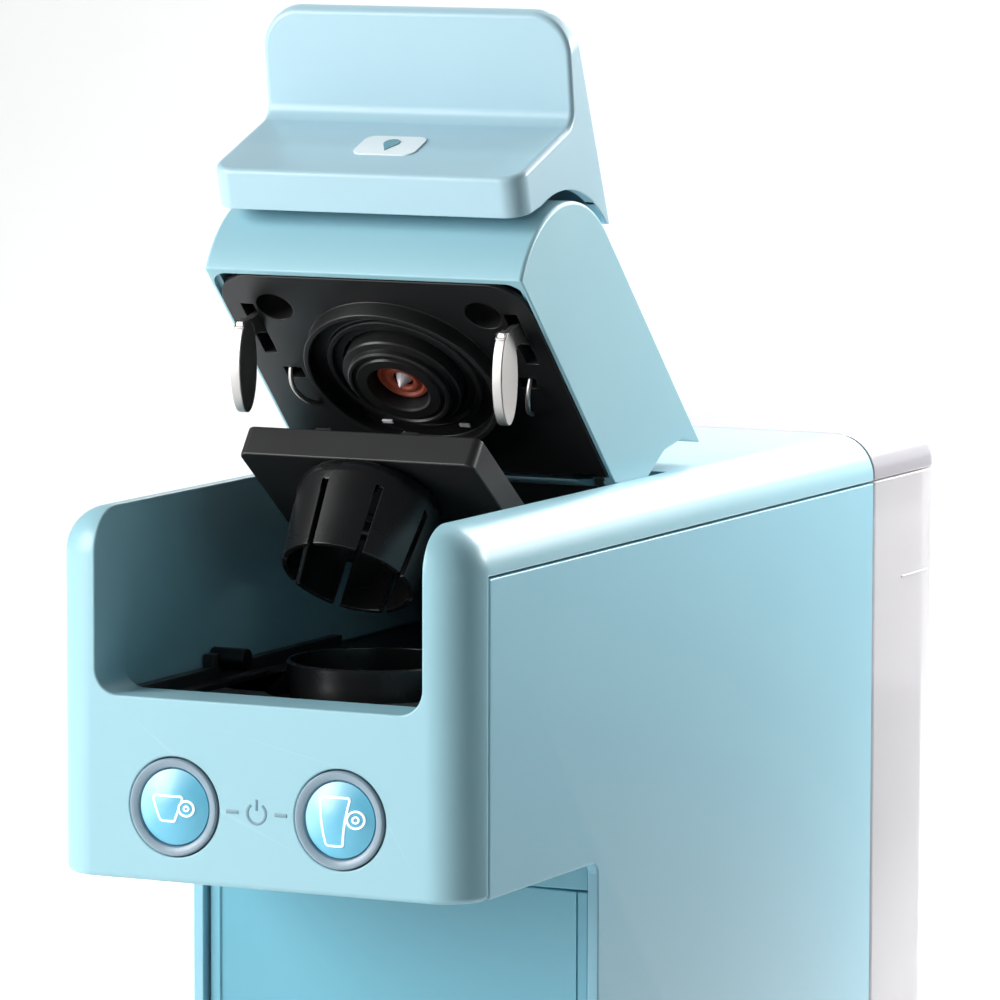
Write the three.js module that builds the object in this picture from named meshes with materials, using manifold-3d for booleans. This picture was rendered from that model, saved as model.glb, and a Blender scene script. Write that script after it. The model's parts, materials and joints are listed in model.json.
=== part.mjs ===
// Pod coffee machine: a slim body with a lever-operated brewing head that tilts up out of its top.
// Millimetres, +Z up, front face towards -Y. The parts are drawn in the machine's own frame, where
// Y = 0 is the front face of the body and Z = 0 is the table. The outer group then moves the whole
// object so that its origin is the middle of its footprint.
import * as THREE from "three";
import { mergeVertices } from "three/addons/utils/BufferGeometryUtils.js";
import Module from "manifold-3d";

const wasm = await Module();
wasm.setup();

// ---- Driving dimensions ----
const WIDTH = 100;
const HALF = WIDTH / 2;
const BODY_TOP = 265;
const UNDERSIDE = 185.6; // lower face of the overhang above the cup
const SHELL_BACK = 217.4;
const TANK_BACK = 262;
const TRAY_FRONT = -36;
const COLUMN_FRONT = 64;
const SEAM = 9.6; // front edge of the side panels, and radius of the body's front corners
const PANEL_TOP = UNDERSIDE + 68.6;
const PANEL = 2.6; // thickness of the side panels
const CUT_HALF = 39; // half width of the brewing chamber
const CUT_FLOOR = UNDERSIDE + 39.7; // upper edge of the front wall of the chamber
const FLOOR = UNDERSIDE + 36.5; // chamber floor
const BASE_TOP = 20;
const FOOT = 3;
const GAP = 0.3;
const PUMP_Y = 178;
const TILT = 45; // degrees that the head is open
const LEVER_TURN = 24.3; // degrees that the lever is open on the head
const CARRIER_TILT = 37; // degrees that the capsule carrier is open
const HINGE = { y: 137, z: UNDERSIDE + 56 };
const PIVOT = { y: 49.4, z: UNDERSIDE + 53.3 }; // lever shaft, head closed
const CARRIER = { y: 126.4, z: UNDERSIDE + 56 }; // carrier axle
const BREW_Y = 55.6; // axis of the piston, the crown and the lift cup, closed
const HEAD_BASE = UNDERSIDE + 44; // lower face of the closed head
const HEAD_HALF = 38.5;
const NOSE_R = 27;
const LEVER_ARM_X = 16.4;
const HOOK_X = 31.8;
const HOOK_HUB = 5.5;
const CATCH = { y: 53, z: UNDERSIDE + 41, r: 2.5 }; // fixed pins that the hooks catch
const BUTTON = { x: 19.8, z: UNDERSIDE + 16.5, ring: 10.5, cap: 8.15 };

// ---- Materials ----
const colour = (name, hex, roughness, metalness = 0) => {
  const m = new THREE.MeshStandardMaterial({ color: hex, roughness, metalness });
  m.name = name;
  return m;
};
const BLUE = colour("blue plastic", 0xa9dbe6, 0.3);
const BLACK = colour("black plastic", 0x1d1d1e, 0.45);
const GREY = colour("grey plastic", 0x9aa0a3, 0.4);
const GLOW = colour("button plastic", 0x7fd0ea, 0.15);
const STEEL = colour("steel", 0xd0d0ce, 0.22, 1);
const RED = colour("red silicone", 0xb0432c, 0.5);
const WHITE = colour("white plastic", 0xe9e6ee, 0.3);
const CLEAR = colour("clear plastic", 0xe8e6f0, 0.08);
const RUBBER = colour("rubber", 0x202020, 0.8);
const BOARD = colour("circuit board", 0x1f5a34, 0.5);
const HOSE = colour("silicone hose", 0xd8d8d0, 0.4);

// ---- Solids ----
function toSolid(geometry) {
  const g = geometry.clone();
  g.deleteAttribute("normal");
  g.deleteAttribute("uv");
  const m = mergeVertices(g, 1e-4);
  const triVerts = new Uint32Array(m.index.array);
  const vertProperties = new Float32Array(m.attributes.position.array);
  return new wasm.Manifold(new wasm.Mesh({ numProp: 3, vertProperties, triVerts }));
}

function toGeometry(solid) {
  const m = solid.getMesh();
  const g = new THREE.BufferGeometry();
  g.setAttribute("position", new THREE.BufferAttribute(new Float32Array(m.vertProperties), 3));
  g.setIndex(new THREE.BufferAttribute(new Uint32Array(m.triVerts), 1));
  const flat = g.toNonIndexed();
  flat.computeVertexNormals();
  return flat;
}

const group = new THREE.Group();
group.position.set(0, -(TRAY_FRONT + TANK_BACK) / 2, 0);

function place(name, solid, material, parent = group) {
  const mesh = new THREE.Mesh(toGeometry(solid), material);
  mesh.name = name;
  parent.add(mesh);
  return mesh;
}

const extrude = (shape, depth, segments) =>
  new THREE.ExtrudeGeometry(shape, { depth, bevelEnabled: false, curveSegments: segments });

const box = (x0, x1, y0, y1, z0, z1) =>
  toSolid(new THREE.BoxGeometry(x1 - x0, y1 - y0, z1 - z0)
    .translate((x0 + x1) / 2, (y0 + y1) / 2, (z0 + z1) / 2));

// A shape drawn in (Y, Z) and drawn out along X from x0 to x1.
function alongX(shape, x0, x1, segments = 8) {
  const turn = new THREE.Matrix4().makeBasis(
    new THREE.Vector3(0, 1, 0), new THREE.Vector3(0, 0, 1), new THREE.Vector3(1, 0, 0));
  return toSolid(extrude(shape, x1 - x0, segments).applyMatrix4(turn).translate(x0, 0, 0));
}

// A shape drawn in (X, Z) and drawn out along Y from y0 to y1.
function alongY(shape, y0, y1, segments = 8) {
  const turn = new THREE.Matrix4().makeBasis(
    new THREE.Vector3(1, 0, 0), new THREE.Vector3(0, 0, 1), new THREE.Vector3(0, -1, 0));
  return toSolid(extrude(shape, y1 - y0, segments).applyMatrix4(turn).translate(0, y1, 0));
}

// A shape drawn in (X, Y) and drawn out along Z from z0 to z1.
const alongZ = (shape, z0, z1, segments = 8) =>
  toSolid(extrude(shape, z1 - z0, segments).translate(0, 0, z0));

function rodX(y, z, r, x0, x1, sides = 20) {
  const g = new THREE.CylinderGeometry(r, r, x1 - x0, sides).rotateZ(Math.PI / 2);
  return toSolid(g.translate((x0 + x1) / 2, y, z));
}

function rodY(x, z, r, y0, y1, sides = 24) {
  return toSolid(new THREE.CylinderGeometry(r, r, y1 - y0, sides).translate(x, (y0 + y1) / 2, z));
}

function rodZ(x, y, r, z0, z1, sides = 32, rTop = r) {
  const g = new THREE.CylinderGeometry(rTop, r, z1 - z0, sides).rotateX(Math.PI / 2);
  return toSolid(g.translate(x, y, (z0 + z1) / 2));
}

const both = (make) => make(-1).add(make(1));

// A rectangle whose four corners have radii given from the lower left, anticlockwise.
function rounded(x0, y0, x1, y1, radii) {
  const [a, b, c, d] = radii;
  const s = new THREE.Shape();
  s.moveTo(x0 + a, y0);
  s.lineTo(x1 - b, y0);
  if (b) s.absarc(x1 - b, y0 + b, b, -Math.PI / 2, 0, false);
  s.lineTo(x1, y1 - c);
  if (c) s.absarc(x1 - c, y1 - c, c, 0, Math.PI / 2, false);
  s.lineTo(x0 + d, y1);
  if (d) s.absarc(x0 + d, y1 - d, d, Math.PI / 2, Math.PI, false);
  s.lineTo(x0, y0 + a);
  if (a) s.absarc(x0 + a, y0 + a, a, Math.PI, 1.5 * Math.PI, false);
  return s;
}

function polygon(points) {
  const s = new THREE.Shape();
  points.forEach(([x, y], i) => (i ? s.lineTo(x, y) : s.moveTo(x, y)));
  s.closePath();
  return s;
}

const polar = (c, r, degrees) => {
  const t = THREE.MathUtils.degToRad(degrees);
  return [c.y + r * Math.cos(t), c.z + r * Math.sin(t)];
};

// Points of an arc about c in the (Y, Z) plane, angles in degrees.
const arc = (c, r, from, to, steps) =>
  Array.from({ length: steps + 1 }, (_, i) => polar(c, r, from + ((to - from) * i) / steps));

// A group that turns its pieces about the X line through c, by the angle that they are open.
function hinged(c, degrees, parent) {
  const outer = new THREE.Group();
  outer.position.set(0, c.y, c.z);
  outer.rotation.x = -THREE.MathUtils.degToRad(degrees);
  const inner = new THREE.Group();
  inner.position.set(0, -c.y, -c.z);
  outer.add(inner);
  parent.add(outer);
  return inner;
}

// ---- Body ----
function bodyOutline() {
  const front = rounded(-HALF, UNDERSIDE, HALF, BODY_TOP, [4, 4, 11, 11]);
  const plan = rounded(-HALF, 0, HALF, SHELL_BACK, [SEAM, SEAM, 0, 0]);
  const side = rounded(0, UNDERSIDE, SHELL_BACK, BODY_TOP, [2, 0, 0, 9.6]);
  return alongY(front, 0, SHELL_BACK, 7)
    .intersect(alongZ(plan, UNDERSIDE, BODY_TOP, 7))
    .intersect(alongX(side, -HALF, HALF, 7));
}

function mainShell() {
  const wall = 2.6;
  const inner = CUT_HALF + wall;
  const backing = HALF - PANEL - GAP;
  const topFront = HINGE.y - 14.7; // front edge of the fixed top, behind the head
  let s = bodyOutline();
  const cut = rounded(-CUT_HALF, CUT_FLOOR, CUT_HALF, BODY_TOP + 5, [5.5, 5.5, 0, 0]);
  s = s.subtract(alongY(cut, -1, topFront, 6));
  s = s.subtract(box(-CUT_HALF, CUT_HALF, 13, topFront, UNDERSIDE + 25, CUT_FLOOR + 8));
  s = s.subtract(both((i) => {
    const x = [i * backing, i * (HALF + 1)].sort((p, q) => p - q);
    return box(x[0], x[1], SEAM, SHELL_BACK + 1, UNDERSIDE - 1, PANEL_TOP);
  }));
  s = s.subtract(box(-44.5, 44.5, wall, SHELL_BACK + 1, UNDERSIDE + wall, CUT_FLOOR - wall));
  s = s.subtract(box(-44.5, 44.5, COLUMN_FRONT, SHELL_BACK + 1, UNDERSIDE - 1, UNDERSIDE + 5));
  s = s.subtract(both((i) => {
    const x = [i * inner, i * 44.5].sort((p, q) => p - q);
    return box(x[0], x[1], wall, SHELL_BACK + 1, UNDERSIDE + 5, PANEL_TOP - 4);
  }));
  s = s.subtract(box(-CUT_HALF, CUT_HALF, topFront - 1, 160, CUT_FLOOR - 10, BODY_TOP - wall));
  s = s.subtract(box(-44, 44, 160, SHELL_BACK + 1, UNDERSIDE + 5, BODY_TOP - 3.2));
  s = s.subtract(both((i) => rodY(i * BUTTON.x, BUTTON.z, BUTTON.ring + GAP, -1, wall + 1)));
  s = s.subtract(rodZ(0, BREW_Y, 8, UNDERSIDE - 1, UNDERSIDE + wall + 1, 24));
  s = s.subtract(rodX(HINGE.y, HINGE.z, 3.3, -44, 44));
  place("main_shell", s, BLUE);
}

function sidePanels() {
  const y0 = SEAM + 0.4;
  const y1 = SHELL_BACK - 0.2;
  const z0 = BASE_TOP + GAP;
  const z1 = PANEL_TOP - 0.5;
  const outline = new THREE.Shape();
  outline.moveTo(COLUMN_FRONT, z0);
  outline.lineTo(y1, z0);
  outline.lineTo(y1, z1);
  outline.lineTo(y0, z1);
  outline.lineTo(y0, UNDERSIDE + GAP);
  outline.lineTo(COLUMN_FRONT - 3, UNDERSIDE + GAP);
  outline.absarc(COLUMN_FRONT - 3, UNDERSIDE + GAP - 3, 3, Math.PI / 2, 0, true);
  for (const [name, x] of [["side_panel_left", -HALF], ["side_panel_right", HALF - PANEL]])
    place(name, alongX(outline, x, x + PANEL, 5), BLUE);
}

function base() {
  const plan = rounded(-HALF, TRAY_FRONT, HALF, TANK_BACK, [14, 14, 6, 6]);
  let s = alongZ(plan, FOOT, BASE_TOP, 6);
  // A shallow pocket at the front takes the drip tray, and the rest is a tub open at the top.
  s = s.subtract(box(-47, 47, TRAY_FRONT + 3, COLUMN_FRONT - 2, 7, BASE_TOP + 1));
  s = s.subtract(box(-46.5, 46.5, COLUMN_FRONT - 3, 150, 7, BASE_TOP + 1));
  s = s.subtract(box(-46.5, 46.5, 153, SHELL_BACK - 3, 6, BASE_TOP + 1));
  s = s.subtract(box(-47, 47, TRAY_FRONT - 1, TRAY_FRONT + 12, 7, BASE_TOP + 1));
  s = s.subtract(rodY(-30, 11.5, 4.3, TANK_BACK - 14, TANK_BACK + 1, 20));
  s = s.subtract(box(13, 31, TANK_BACK - 12, TANK_BACK + 1, 6.5, 17.5));
  place("base", s, BLUE);
  const corners = {
    front_left: [-36, -18], front_right: [36, -18], rear_left: [-36, 244], rear_right: [36, 244],
  };
  for (const [where, [x, y]] of Object.entries(corners))
    place("foot_" + where, rodZ(x, y, 7, 0, FOOT - 0.05, 20), RUBBER);
}

// ---- Brewing chamber ----
function chamber() {
  const low = UNDERSIDE + 29.8;
  const pocket = UNDERSIDE + 31.8;
  const back = 158;
  const side = CUT_HALF - GAP;
  let s = box(-side, side, 13.3, back, low, FLOOR);
  // Strips along the two sides, each with a saddle for a catch pin.
  const strip = (i, y0, y1, z) => {
    const x = [i * (side - 2.7), i * side].sort((p, q) => p - q);
    return box(x[0], x[1], y0, y1, FLOOR - 1, z);
  };
  s = s.add(both((i) => strip(i, 13.3, 110, FLOOR + 3)));
  s = s.add(box(-side, side, back - 3, back, low, UNDERSIDE + 74));
  s = s.add(both((i) => lug(i * 17.5)));
  s = s.add(both((i) => strip(i, CATCH.y - 5, CATCH.y + 5, CATCH.z + 1.4)));
  s = s.subtract(box(-29.5, 29.5, 40.5, 112, pocket, FLOOR + 10));
  // The crown swings down through this opening, so it is longer towards the front.
  s = s.subtract(rodZ(0, BREW_Y, 22.5, low - 1, FLOOR + 1, 40));
  s = s.subtract(rodZ(0, BREW_Y - 4, 22.2, low - 1, FLOOR + 1, 40));
  s = s.subtract(box(-14, 14, 84, 116, low - 1, FLOOR + 1));
  s = s.subtract(both((i) => box(i * HOOK_X - 2.1, i * HOOK_X + 2.1, 26.5, 69, low - 1, FLOOR + 5)));
  s = s.subtract(rodX(CARRIER.y, CARRIER.z, 2.8, -30, 30, 16));
  s = s.subtract(rodX(CATCH.y, CATCH.z, CATCH.r + GAP, -40, 40, 16));
  place("chamber_tub", s, BLACK);

  for (const [name, i] of [["catch_pin_left", -1], ["catch_pin_right", 1]]) {
    const x = [i * 30.2, i * (CUT_HALF - GAP)].sort((p, q) => p - q);
    place(name, rodX(CATCH.y, CATCH.z, CATCH.r, x[0], x[1], 16), STEEL);
  }
  place("head_axle", rodX(HINGE.y, HINGE.z, 3, -43.5, 43.5), STEEL);
  place("carrier_axle", rodX(CARRIER.y, CARRIER.z, 2.5, -28, 28, 16), STEEL);

  // The lift cup is raised in the open machine. It guides the capsule and sinks under the crown.
  const rim = UNDERSIDE + 42.8;
  let cup = rodZ(0, BREW_Y, 19.5, rim - 8, rim, 40);
  cup = cup.subtract(rodZ(0, BREW_Y, 18.4, rim - 6, rim + 1, 40));
  cup = cup.subtract(rodZ(0, BREW_Y, 5, rim - 10, rim, 16));
  place("lift_cup", cup, BLACK);

  let spout = rodZ(0, BREW_Y, 14, UNDERSIDE + 2.9, UNDERSIDE + 5, 24);
  spout = spout.add(rodZ(0, BREW_Y, 7, UNDERSIDE - 2.5, UNDERSIDE + 4, 24));
  spout = spout.subtract(rodZ(0, BREW_Y, 3.5, UNDERSIDE - 4, UNDERSIDE + 6, 16, 6));
  place("spout", spout, BLACK);
}

// A post of the chamber floor that holds the carrier axle.
function lug(x) {
  const top = arc(CARRIER, 6, 0, 180, 6);
  const outline = polygon([[CARRIER.y - 6, FLOOR - 1], [CARRIER.y + 6, FLOOR - 1], ...top]);
  return alongX(outline, x - 2.5, x + 2.5);
}

// ---- Head ----
const head = hinged(HINGE, TILT, group);
const HEAD_BACK = [
  [93, HEAD_BASE], [100, UNDERSIDE + 49], [105, UNDERSIDE + 56],
  [107.5, UNDERSIDE + 66], [113, UNDERSIDE + 74], [121.6, UNDERSIDE + 79.8],
];

function headProfile(r, base, shift) {
  const start = 180 + THREE.MathUtils.radToDeg(Math.asin((PIVOT.z - base) / r));
  const nose = arc(PIVOT, r, start, 90, 14);
  const back = HEAD_BACK.map(([y, z]) => [y - shift, z]).reverse();
  const top = PIVOT.z + r;
  back[0] = [back[0][0], top];
  back[back.length - 1] = [back[back.length - 1][0], base];
  return polygon([...nose, ...back].reverse());
}

// Outline of the black plate that closes the head from below, with its two round front corners.
function plateOutline(side, grow) {
  return rounded(-side, PIVOT.y - 24.5 - grow, side, 90 + grow, [9, 9, 1, 1]);
}

function headShell() {
  const wall = 2.2;
  let s = alongX(headProfile(NOSE_R, HEAD_BASE, 0), -HEAD_HALF, HEAD_HALF);
  s = s.subtract(alongZ(plateOutline(HEAD_HALF + 1, 0.3), HEAD_BASE - 2, HEAD_BASE + 1.3, 6));
  const inside = alongX(headProfile(NOSE_R - wall, HEAD_BASE - 1, 2.6), wall - HEAD_HALF, HEAD_HALF - wall);
  s = s.subtract(inside);
  const armSlot = (x) => box(x - 2.4, x + 2.4, 15, 39.5, UNDERSIDE + 61, UNDERSIDE + 82);
  s = s.subtract(both((i) => armSlot(i * LEVER_ARM_X)));
  s = s.subtract(both((i) => box(i * 32.5 - 3.2, i * 32.5 + 3.2, 90, 118, HEAD_BASE - 2, HEAD_BASE + 14)));
  place("head_shell", s, BLUE, head);
}

function headPlate() {
  const z0 = HEAD_BASE - 0.3;
  const plan = rounded(-36, PIVOT.y - 22.4, 36, 89.6, [9, 9, 2, 2]);
  let s = alongZ(plateOutline(HEAD_HALF - 0.1, 0), z0, z0 + 1.3, 6).add(alongZ(plan, z0 + 1, z0 + 3.7, 6));
  s = s.add(rodZ(0, BREW_Y, 22.8, HEAD_BASE - 4.2, z0 + 1.7, 48));
  s = s.subtract(rodZ(0, BREW_Y, 21.3, HEAD_BASE - 10, HEAD_BASE - 2, 48));
  s = s.subtract(rodZ(0, BREW_Y, 14.1, HEAD_BASE - 10, z0 + 9, 32));
  s = s.add(both((i) => rodZ(i * 26, PIVOT.y - 13.5, 5.6, z0 + 1.7, z0 + 11.7, 20)));
  s = s.subtract(both((i) => rodZ(i * 26, PIVOT.y - 13.5, 4.2, z0 - 1, z0 + 10.2, 20)));
  const hookSlot = (x) => box(x - 1.7, x + 1.7, PIVOT.y - 21.5, PIVOT.y + 2.2, z0 - 1, z0 + 5);
  s = s.subtract(both((i) => hookSlot(i * HOOK_X)));
  s = s.subtract(both((i) => box(i * 32.5 - 3.2, i * 32.5 + 3.2, 89, 95, z0 - 1, z0 + 5)));
  place("head_plate", s, BLACK, head);

  let piston = rodZ(0, BREW_Y, 13.7, HEAD_BASE - 4.2, HEAD_BASE + 3.8, 36);
  piston = piston.add(rodZ(0, BREW_Y, 11.9, HEAD_BASE - 6, HEAD_BASE - 4, 36));
  piston = piston.subtract(rodZ(0, BREW_Y, 7, HEAD_BASE - 7, HEAD_BASE - 2, 24, 6.4));
  place("brew_piston", piston, BLACK, head);
  let seal = rodZ(0, BREW_Y, 6, HEAD_BASE - 3.4, HEAD_BASE - 2 - GAP, 24);
  seal = seal.subtract(rodZ(0, BREW_Y, 2.4, HEAD_BASE - 5, HEAD_BASE, 12));
  place("piston_seal", seal, RED, head);
  place("piercing_needle", rodZ(0, BREW_Y, 0.5, HEAD_BASE - 5.4, HEAD_BASE - 2 - GAP, 10, 2), WHITE, head);
  for (const [name, x] of [["head_screw_left", -26], ["head_screw_right", 26]])
    place(name, rodZ(x, PIVOT.y - 13.5, 3.3, z0 + 7.1, z0 + 9.9, 16), STEEL, head);
}

function headYoke() {
  // Two arms carry the head on its axle, joined by a cross bar inside the shell.
  const arm = (x) => {
    const outline = polygon([
      [96, UNDERSIDE + 48.5], [130, UNDERSIDE + 48], ...arc(HINGE, 7, 270, 450, 8),
      [126, UNDERSIDE + 57], [96, UNDERSIDE + 57],
    ]);
    return alongX(outline, x - 2.5, x + 2.5);
  };
  let s = both((i) => arm(i * 32.5));
  s = s.add(box(-35, 35, 90, 98, UNDERSIDE + 51, UNDERSIDE + 57));
  s = s.subtract(rodX(HINGE.y, HINGE.z, 3.3, -40, 40));
  place("head_yoke", s, STEEL, head);
}

// ---- Lever ----
const lever = hinged(PIVOT, LEVER_TURN, head);
const LEVER_HALF = 37.5;

function leverProfile(r) {
  const z = (t) => UNDERSIDE + t;
  return polygon([
    ...arc(PIVOT, r, 196, 116, 10),
    [36.6, z(81.2)], [20, z(81.6)], [-12, z(81)], [-13.4, z(79.6)], [-13, z(77.6)],
    [6, z(73)], [8.9, z(71.4)], [9.8, z(69)], [9.8, z(43.6)], [10.8, z(42.4)],
  ].reverse());
}

function leverShell() {
  const wall = 2.4;
  let s = alongX(leverProfile(NOSE_R + 0.9), -LEVER_HALF, LEVER_HALF);
  const lip = rounded(-LEVER_HALF, -13.6, LEVER_HALF, 50, [9, 9, 0, 0]);
  const below = box(-60, 60, -20, 90, UNDERSIDE + 30, UNDERSIDE + 72);
  s = s.intersect(below.add(alongZ(lip, UNDERSIDE + 60, UNDERSIDE + 90, 6)));
  const ledge = rounded(-LEVER_HALF, UNDERSIDE + 42.4, LEVER_HALF, UNDERSIDE + 90, [5, 5, 0, 0]);
  const behind = box(-60, 60, 24, 90, UNDERSIDE + 20, UNDERSIDE + 90);
  s = s.intersect(behind.add(alongY(ledge, -20, 25, 6)));
  const hollow = polygon([
    ...arc(PIVOT, NOSE_R - 2, 190, 128, 6),
    [30, UNDERSIDE + 78], [15, UNDERSIDE + 78.8], [12.4, UNDERSIDE + 70], [12.4, UNDERSIDE + 48],
  ].reverse());
  s = s.subtract(alongX(hollow, wall - LEVER_HALF, LEVER_HALF - wall));
  place("lever_shell", s, BLUE, lever);
}

function leverYoke() {
  const arm = (x) => {
    const outline = polygon([
      polar(PIVOT, 35.5, 144), polar(PIVOT, 35.5, 158), ...arc(PIVOT, 5.5, 211, 451, 9),
    ]);
    return alongX(outline, x - 2, x + 2);
  };
  let s = both((i) => arm(i * LEVER_ARM_X));
  s = s.add(rodX(PIVOT.y, PIVOT.z, 4, -35.9, 35.9));
  place("lever_yoke", s, STEEL, lever);
}

// The hooks turn with the lever and catch the fixed pins. An arm runs from the hub down to the front
// end of an oval blade, which the closed lever brings under the pin.
const BLADE = { y: 52.4, z: UNDERSIDE + 32.2, long: 10.2, short: 4.1, turn: 159.3 };

function bladePoint(t) {
  const turn = THREE.MathUtils.degToRad(BLADE.turn);
  const [c, s] = [Math.cos(turn), Math.sin(turn)];
  const u = BLADE.long * Math.cos(t);
  const v = BLADE.short * Math.sin(t);
  return [BLADE.y + u * c - v * s, BLADE.z + u * s + v * c];
}

function hooks() {
  const steps = 24;
  const oval = Array.from({ length: steps }, (_, i) => bladePoint((2 * Math.PI * i) / steps));
  const arm = [polar(PIVOT, 5, 195), polar(PIVOT, 16.6, 242.5), polar(PIVOT, 20.5, 243.5), bladePoint(0.55),
    bladePoint(-0.9), polar(PIVOT, 13, 257), polar(PIVOT, 5, 300)];
  const hole = rodX(PIVOT.y, PIVOT.z, 4.3, -40, 40);
  for (const [name, x] of [["hook_left", -HOOK_X], ["hook_right", HOOK_X]]) {
    let hook = alongX(polygon(oval), x - 1, x + 1).add(alongX(polygon(arm), x - 1, x + 1));
    hook = hook.add(rodX(PIVOT.y, PIVOT.z, HOOK_HUB, x - 1, x + 1, 24));
    place(name, hook.subtract(hole), STEEL, lever);
  }
}

function badge() {
  place("lever_badge", box(-9, 9, 9.1, 9.5, UNDERSIDE + 52, UNDERSIDE + 62), WHITE, lever);
}

// ---- Capsule carrier ----
const carrier = hinged(CARRIER, CARRIER_TILT, group);
const CARRIER_BASE = UNDERSIDE + 32.3;
const CARRIER_FRONT = 42.6;

function carrierFrame() {
  const z1 = CARRIER_BASE + 7.2;
  const plan = rounded(-28.5, CARRIER_FRONT, 28.5, 84, [2, 2, 2, 2]);
  let s = alongZ(plan, CARRIER_BASE, z1, 3);
  const collar = rodZ(0, BREW_Y, 17, z1 - 1, z1 + 1.3, 32);
  s = s.add(collar.intersect(box(-30, 30, CARRIER_FRONT + 1.2, 84, z1 - 1, z1 + 2)));
  const arm = (x) => {
    const bar = polygon([
      [78, CARRIER_BASE], [85, CARRIER_BASE], [CARRIER.y, CARRIER.z - 5],
      ...arc(CARRIER, 5, 300, 460, 6), [86, z1], [78, z1],
    ]);
    return alongX(bar, x - 2.5, x + 2.5);
  };
  s = s.add(both((i) => arm(i * 24.8)));
  s = s.subtract(rodZ(0, BREW_Y, 12.2, CARRIER_BASE - 1, z1 + 3, 32));
  s = s.subtract(rodZ(0, BREW_Y, 14.4, z1, z1 + 3, 32));
  s = s.subtract(rodX(CARRIER.y, CARRIER.z, 2.8, -40, 40, 16));
  place("carrier_frame", s, BLACK, carrier);
}

// A tapered tube with a round shoulder, cut from below into springy fingers.
function crown() {
  const low = CARRIER_BASE - 22.2;
  const top = CARRIER_BASE - GAP;
  const outline = [
    [11.4, top], [12.8, top], [15.4, top - 1.8], [16.5, top - 4.6], [14.8, low],
    [13.6, low], [15.2, top - 4.6], [14.2, top - 2.8], [11.4, top - 1.6], [11.4, top],
  ];
  const profile = outline.map(([r, z]) => new THREE.Vector2(r, z)).reverse();
  const lathe = new THREE.LatheGeometry(profile, 45).rotateX(Math.PI / 2).translate(0, BREW_Y, 0);
  let s = toSolid(lathe);
  const slots = 8;
  const first = -102.5; // direction of the first slot, in degrees from +X
  for (let i = 0; i < slots; i++) {
    const slot = box(8, 20, -0.7, 0.7, low - 1, top - 6.5);
    s = s.subtract(slot.rotate([0, 0, first + i * (360 / slots)]).translate([0, BREW_Y, 0]));
  }
  place("capsule_crown", s, BLACK, carrier);
}

// ---- Buttons ----
function buttons() {
  for (const [side, i] of [["left", -1], ["right", 1]]) {
    const x = i * BUTTON.x;
    const ring = rodY(x, BUTTON.z, BUTTON.ring, -0.6, 5, 40);
    const bore = rodY(x, BUTTON.z, BUTTON.cap + 0.25, -2, 6, 40);
    place("button_ring_" + side, ring.subtract(bore), GREY);
    const profile = [[0, -1.9], [3.6, -1.6], [6.6, -0.9], [BUTTON.cap, 0.2], [BUTTON.cap, 6.5], [0, 6.5]];
    const cap = new THREE.LatheGeometry(profile.map(([r, y]) => new THREE.Vector2(r, y)), 32);
    const stem = rodY(x, BUTTON.z, 2.5, 6, 9.4, 12);
    place("button_" + side, toSolid(cap.translate(x, 0, BUTTON.z)).add(stem), GLOW);
  }
  let board = box(-42, 42, 11.4, 13, UNDERSIDE + 6, UNDERSIDE + 27);
  board = board.add(both((i) => box(i * BUTTON.x - 3, i * BUTTON.x + 3, 11, 12, BUTTON.z - 3, BUTTON.z + 3)));
  place("button_board", board, BOARD);
}

// ---- Column ----
function column() {
  const trimFront = COLUMN_FRONT + 1.5;
  place("column_trim", box(-46.9, 46.9, trimFront, trimFront + 3, UNDERSIDE - 6.5, UNDERSIDE - GAP), BLUE);
  // The bulkhead and its shelf carry the pump, the boiler and the brewing chamber.
  const narrow = 43.7;
  let s = box(-narrow, narrow, 152, 155, 21, UNDERSIDE + 29);
  s = s.add(box(-47, 47, 152, 155, 21, UNDERSIDE - GAP));
  s = s.add(box(-47, 47, 154, SHELL_BACK - 3, UNDERSIDE - 30, UNDERSIDE - 27));
  s = s.add(box(-narrow, narrow, 100, 153, UNDERSIDE + 26, UNDERSIDE + 29));
  s = s.subtract(rodZ(-24, 184, 4, UNDERSIDE - 32, UNDERSIDE - 25, 16));
  s = s.subtract(box(-20, 20, 90, 120, UNDERSIDE, UNDERSIDE + 40));
  s = s.subtract(rodY(-30, UNDERSIDE + 20, 5, 150, 160, 16));
  place("chassis", s, BLACK);
  let back = box(-narrow, narrow, SHELL_BACK - 2.7, SHELL_BACK - 0.2, 21, BODY_TOP - 12);
  back = back.add(box(-47, 47, SHELL_BACK - 2.7, SHELL_BACK - 0.2, 21, UNDERSIDE - GAP));
  back = back.subtract(rodY(0, 40, 5, SHELL_BACK - 5, SHELL_BACK + 1, 20));
  place("rear_wall", back, BLACK);
}

// ---- Water circuit ----
const tube = (points, r, sides = 8, steps = 16) => {
  const ring = new THREE.Shape();
  ring.absarc(0, 0, r, 0, 2 * Math.PI, false);
  const path = new THREE.CatmullRomCurve3(points.map((p) => new THREE.Vector3(...p)));
  const options = { steps, curveSegments: sides / 2, bevelEnabled: false, extrudePath: path };
  return toSolid(new THREE.ExtrudeGeometry(ring, options));
};

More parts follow.
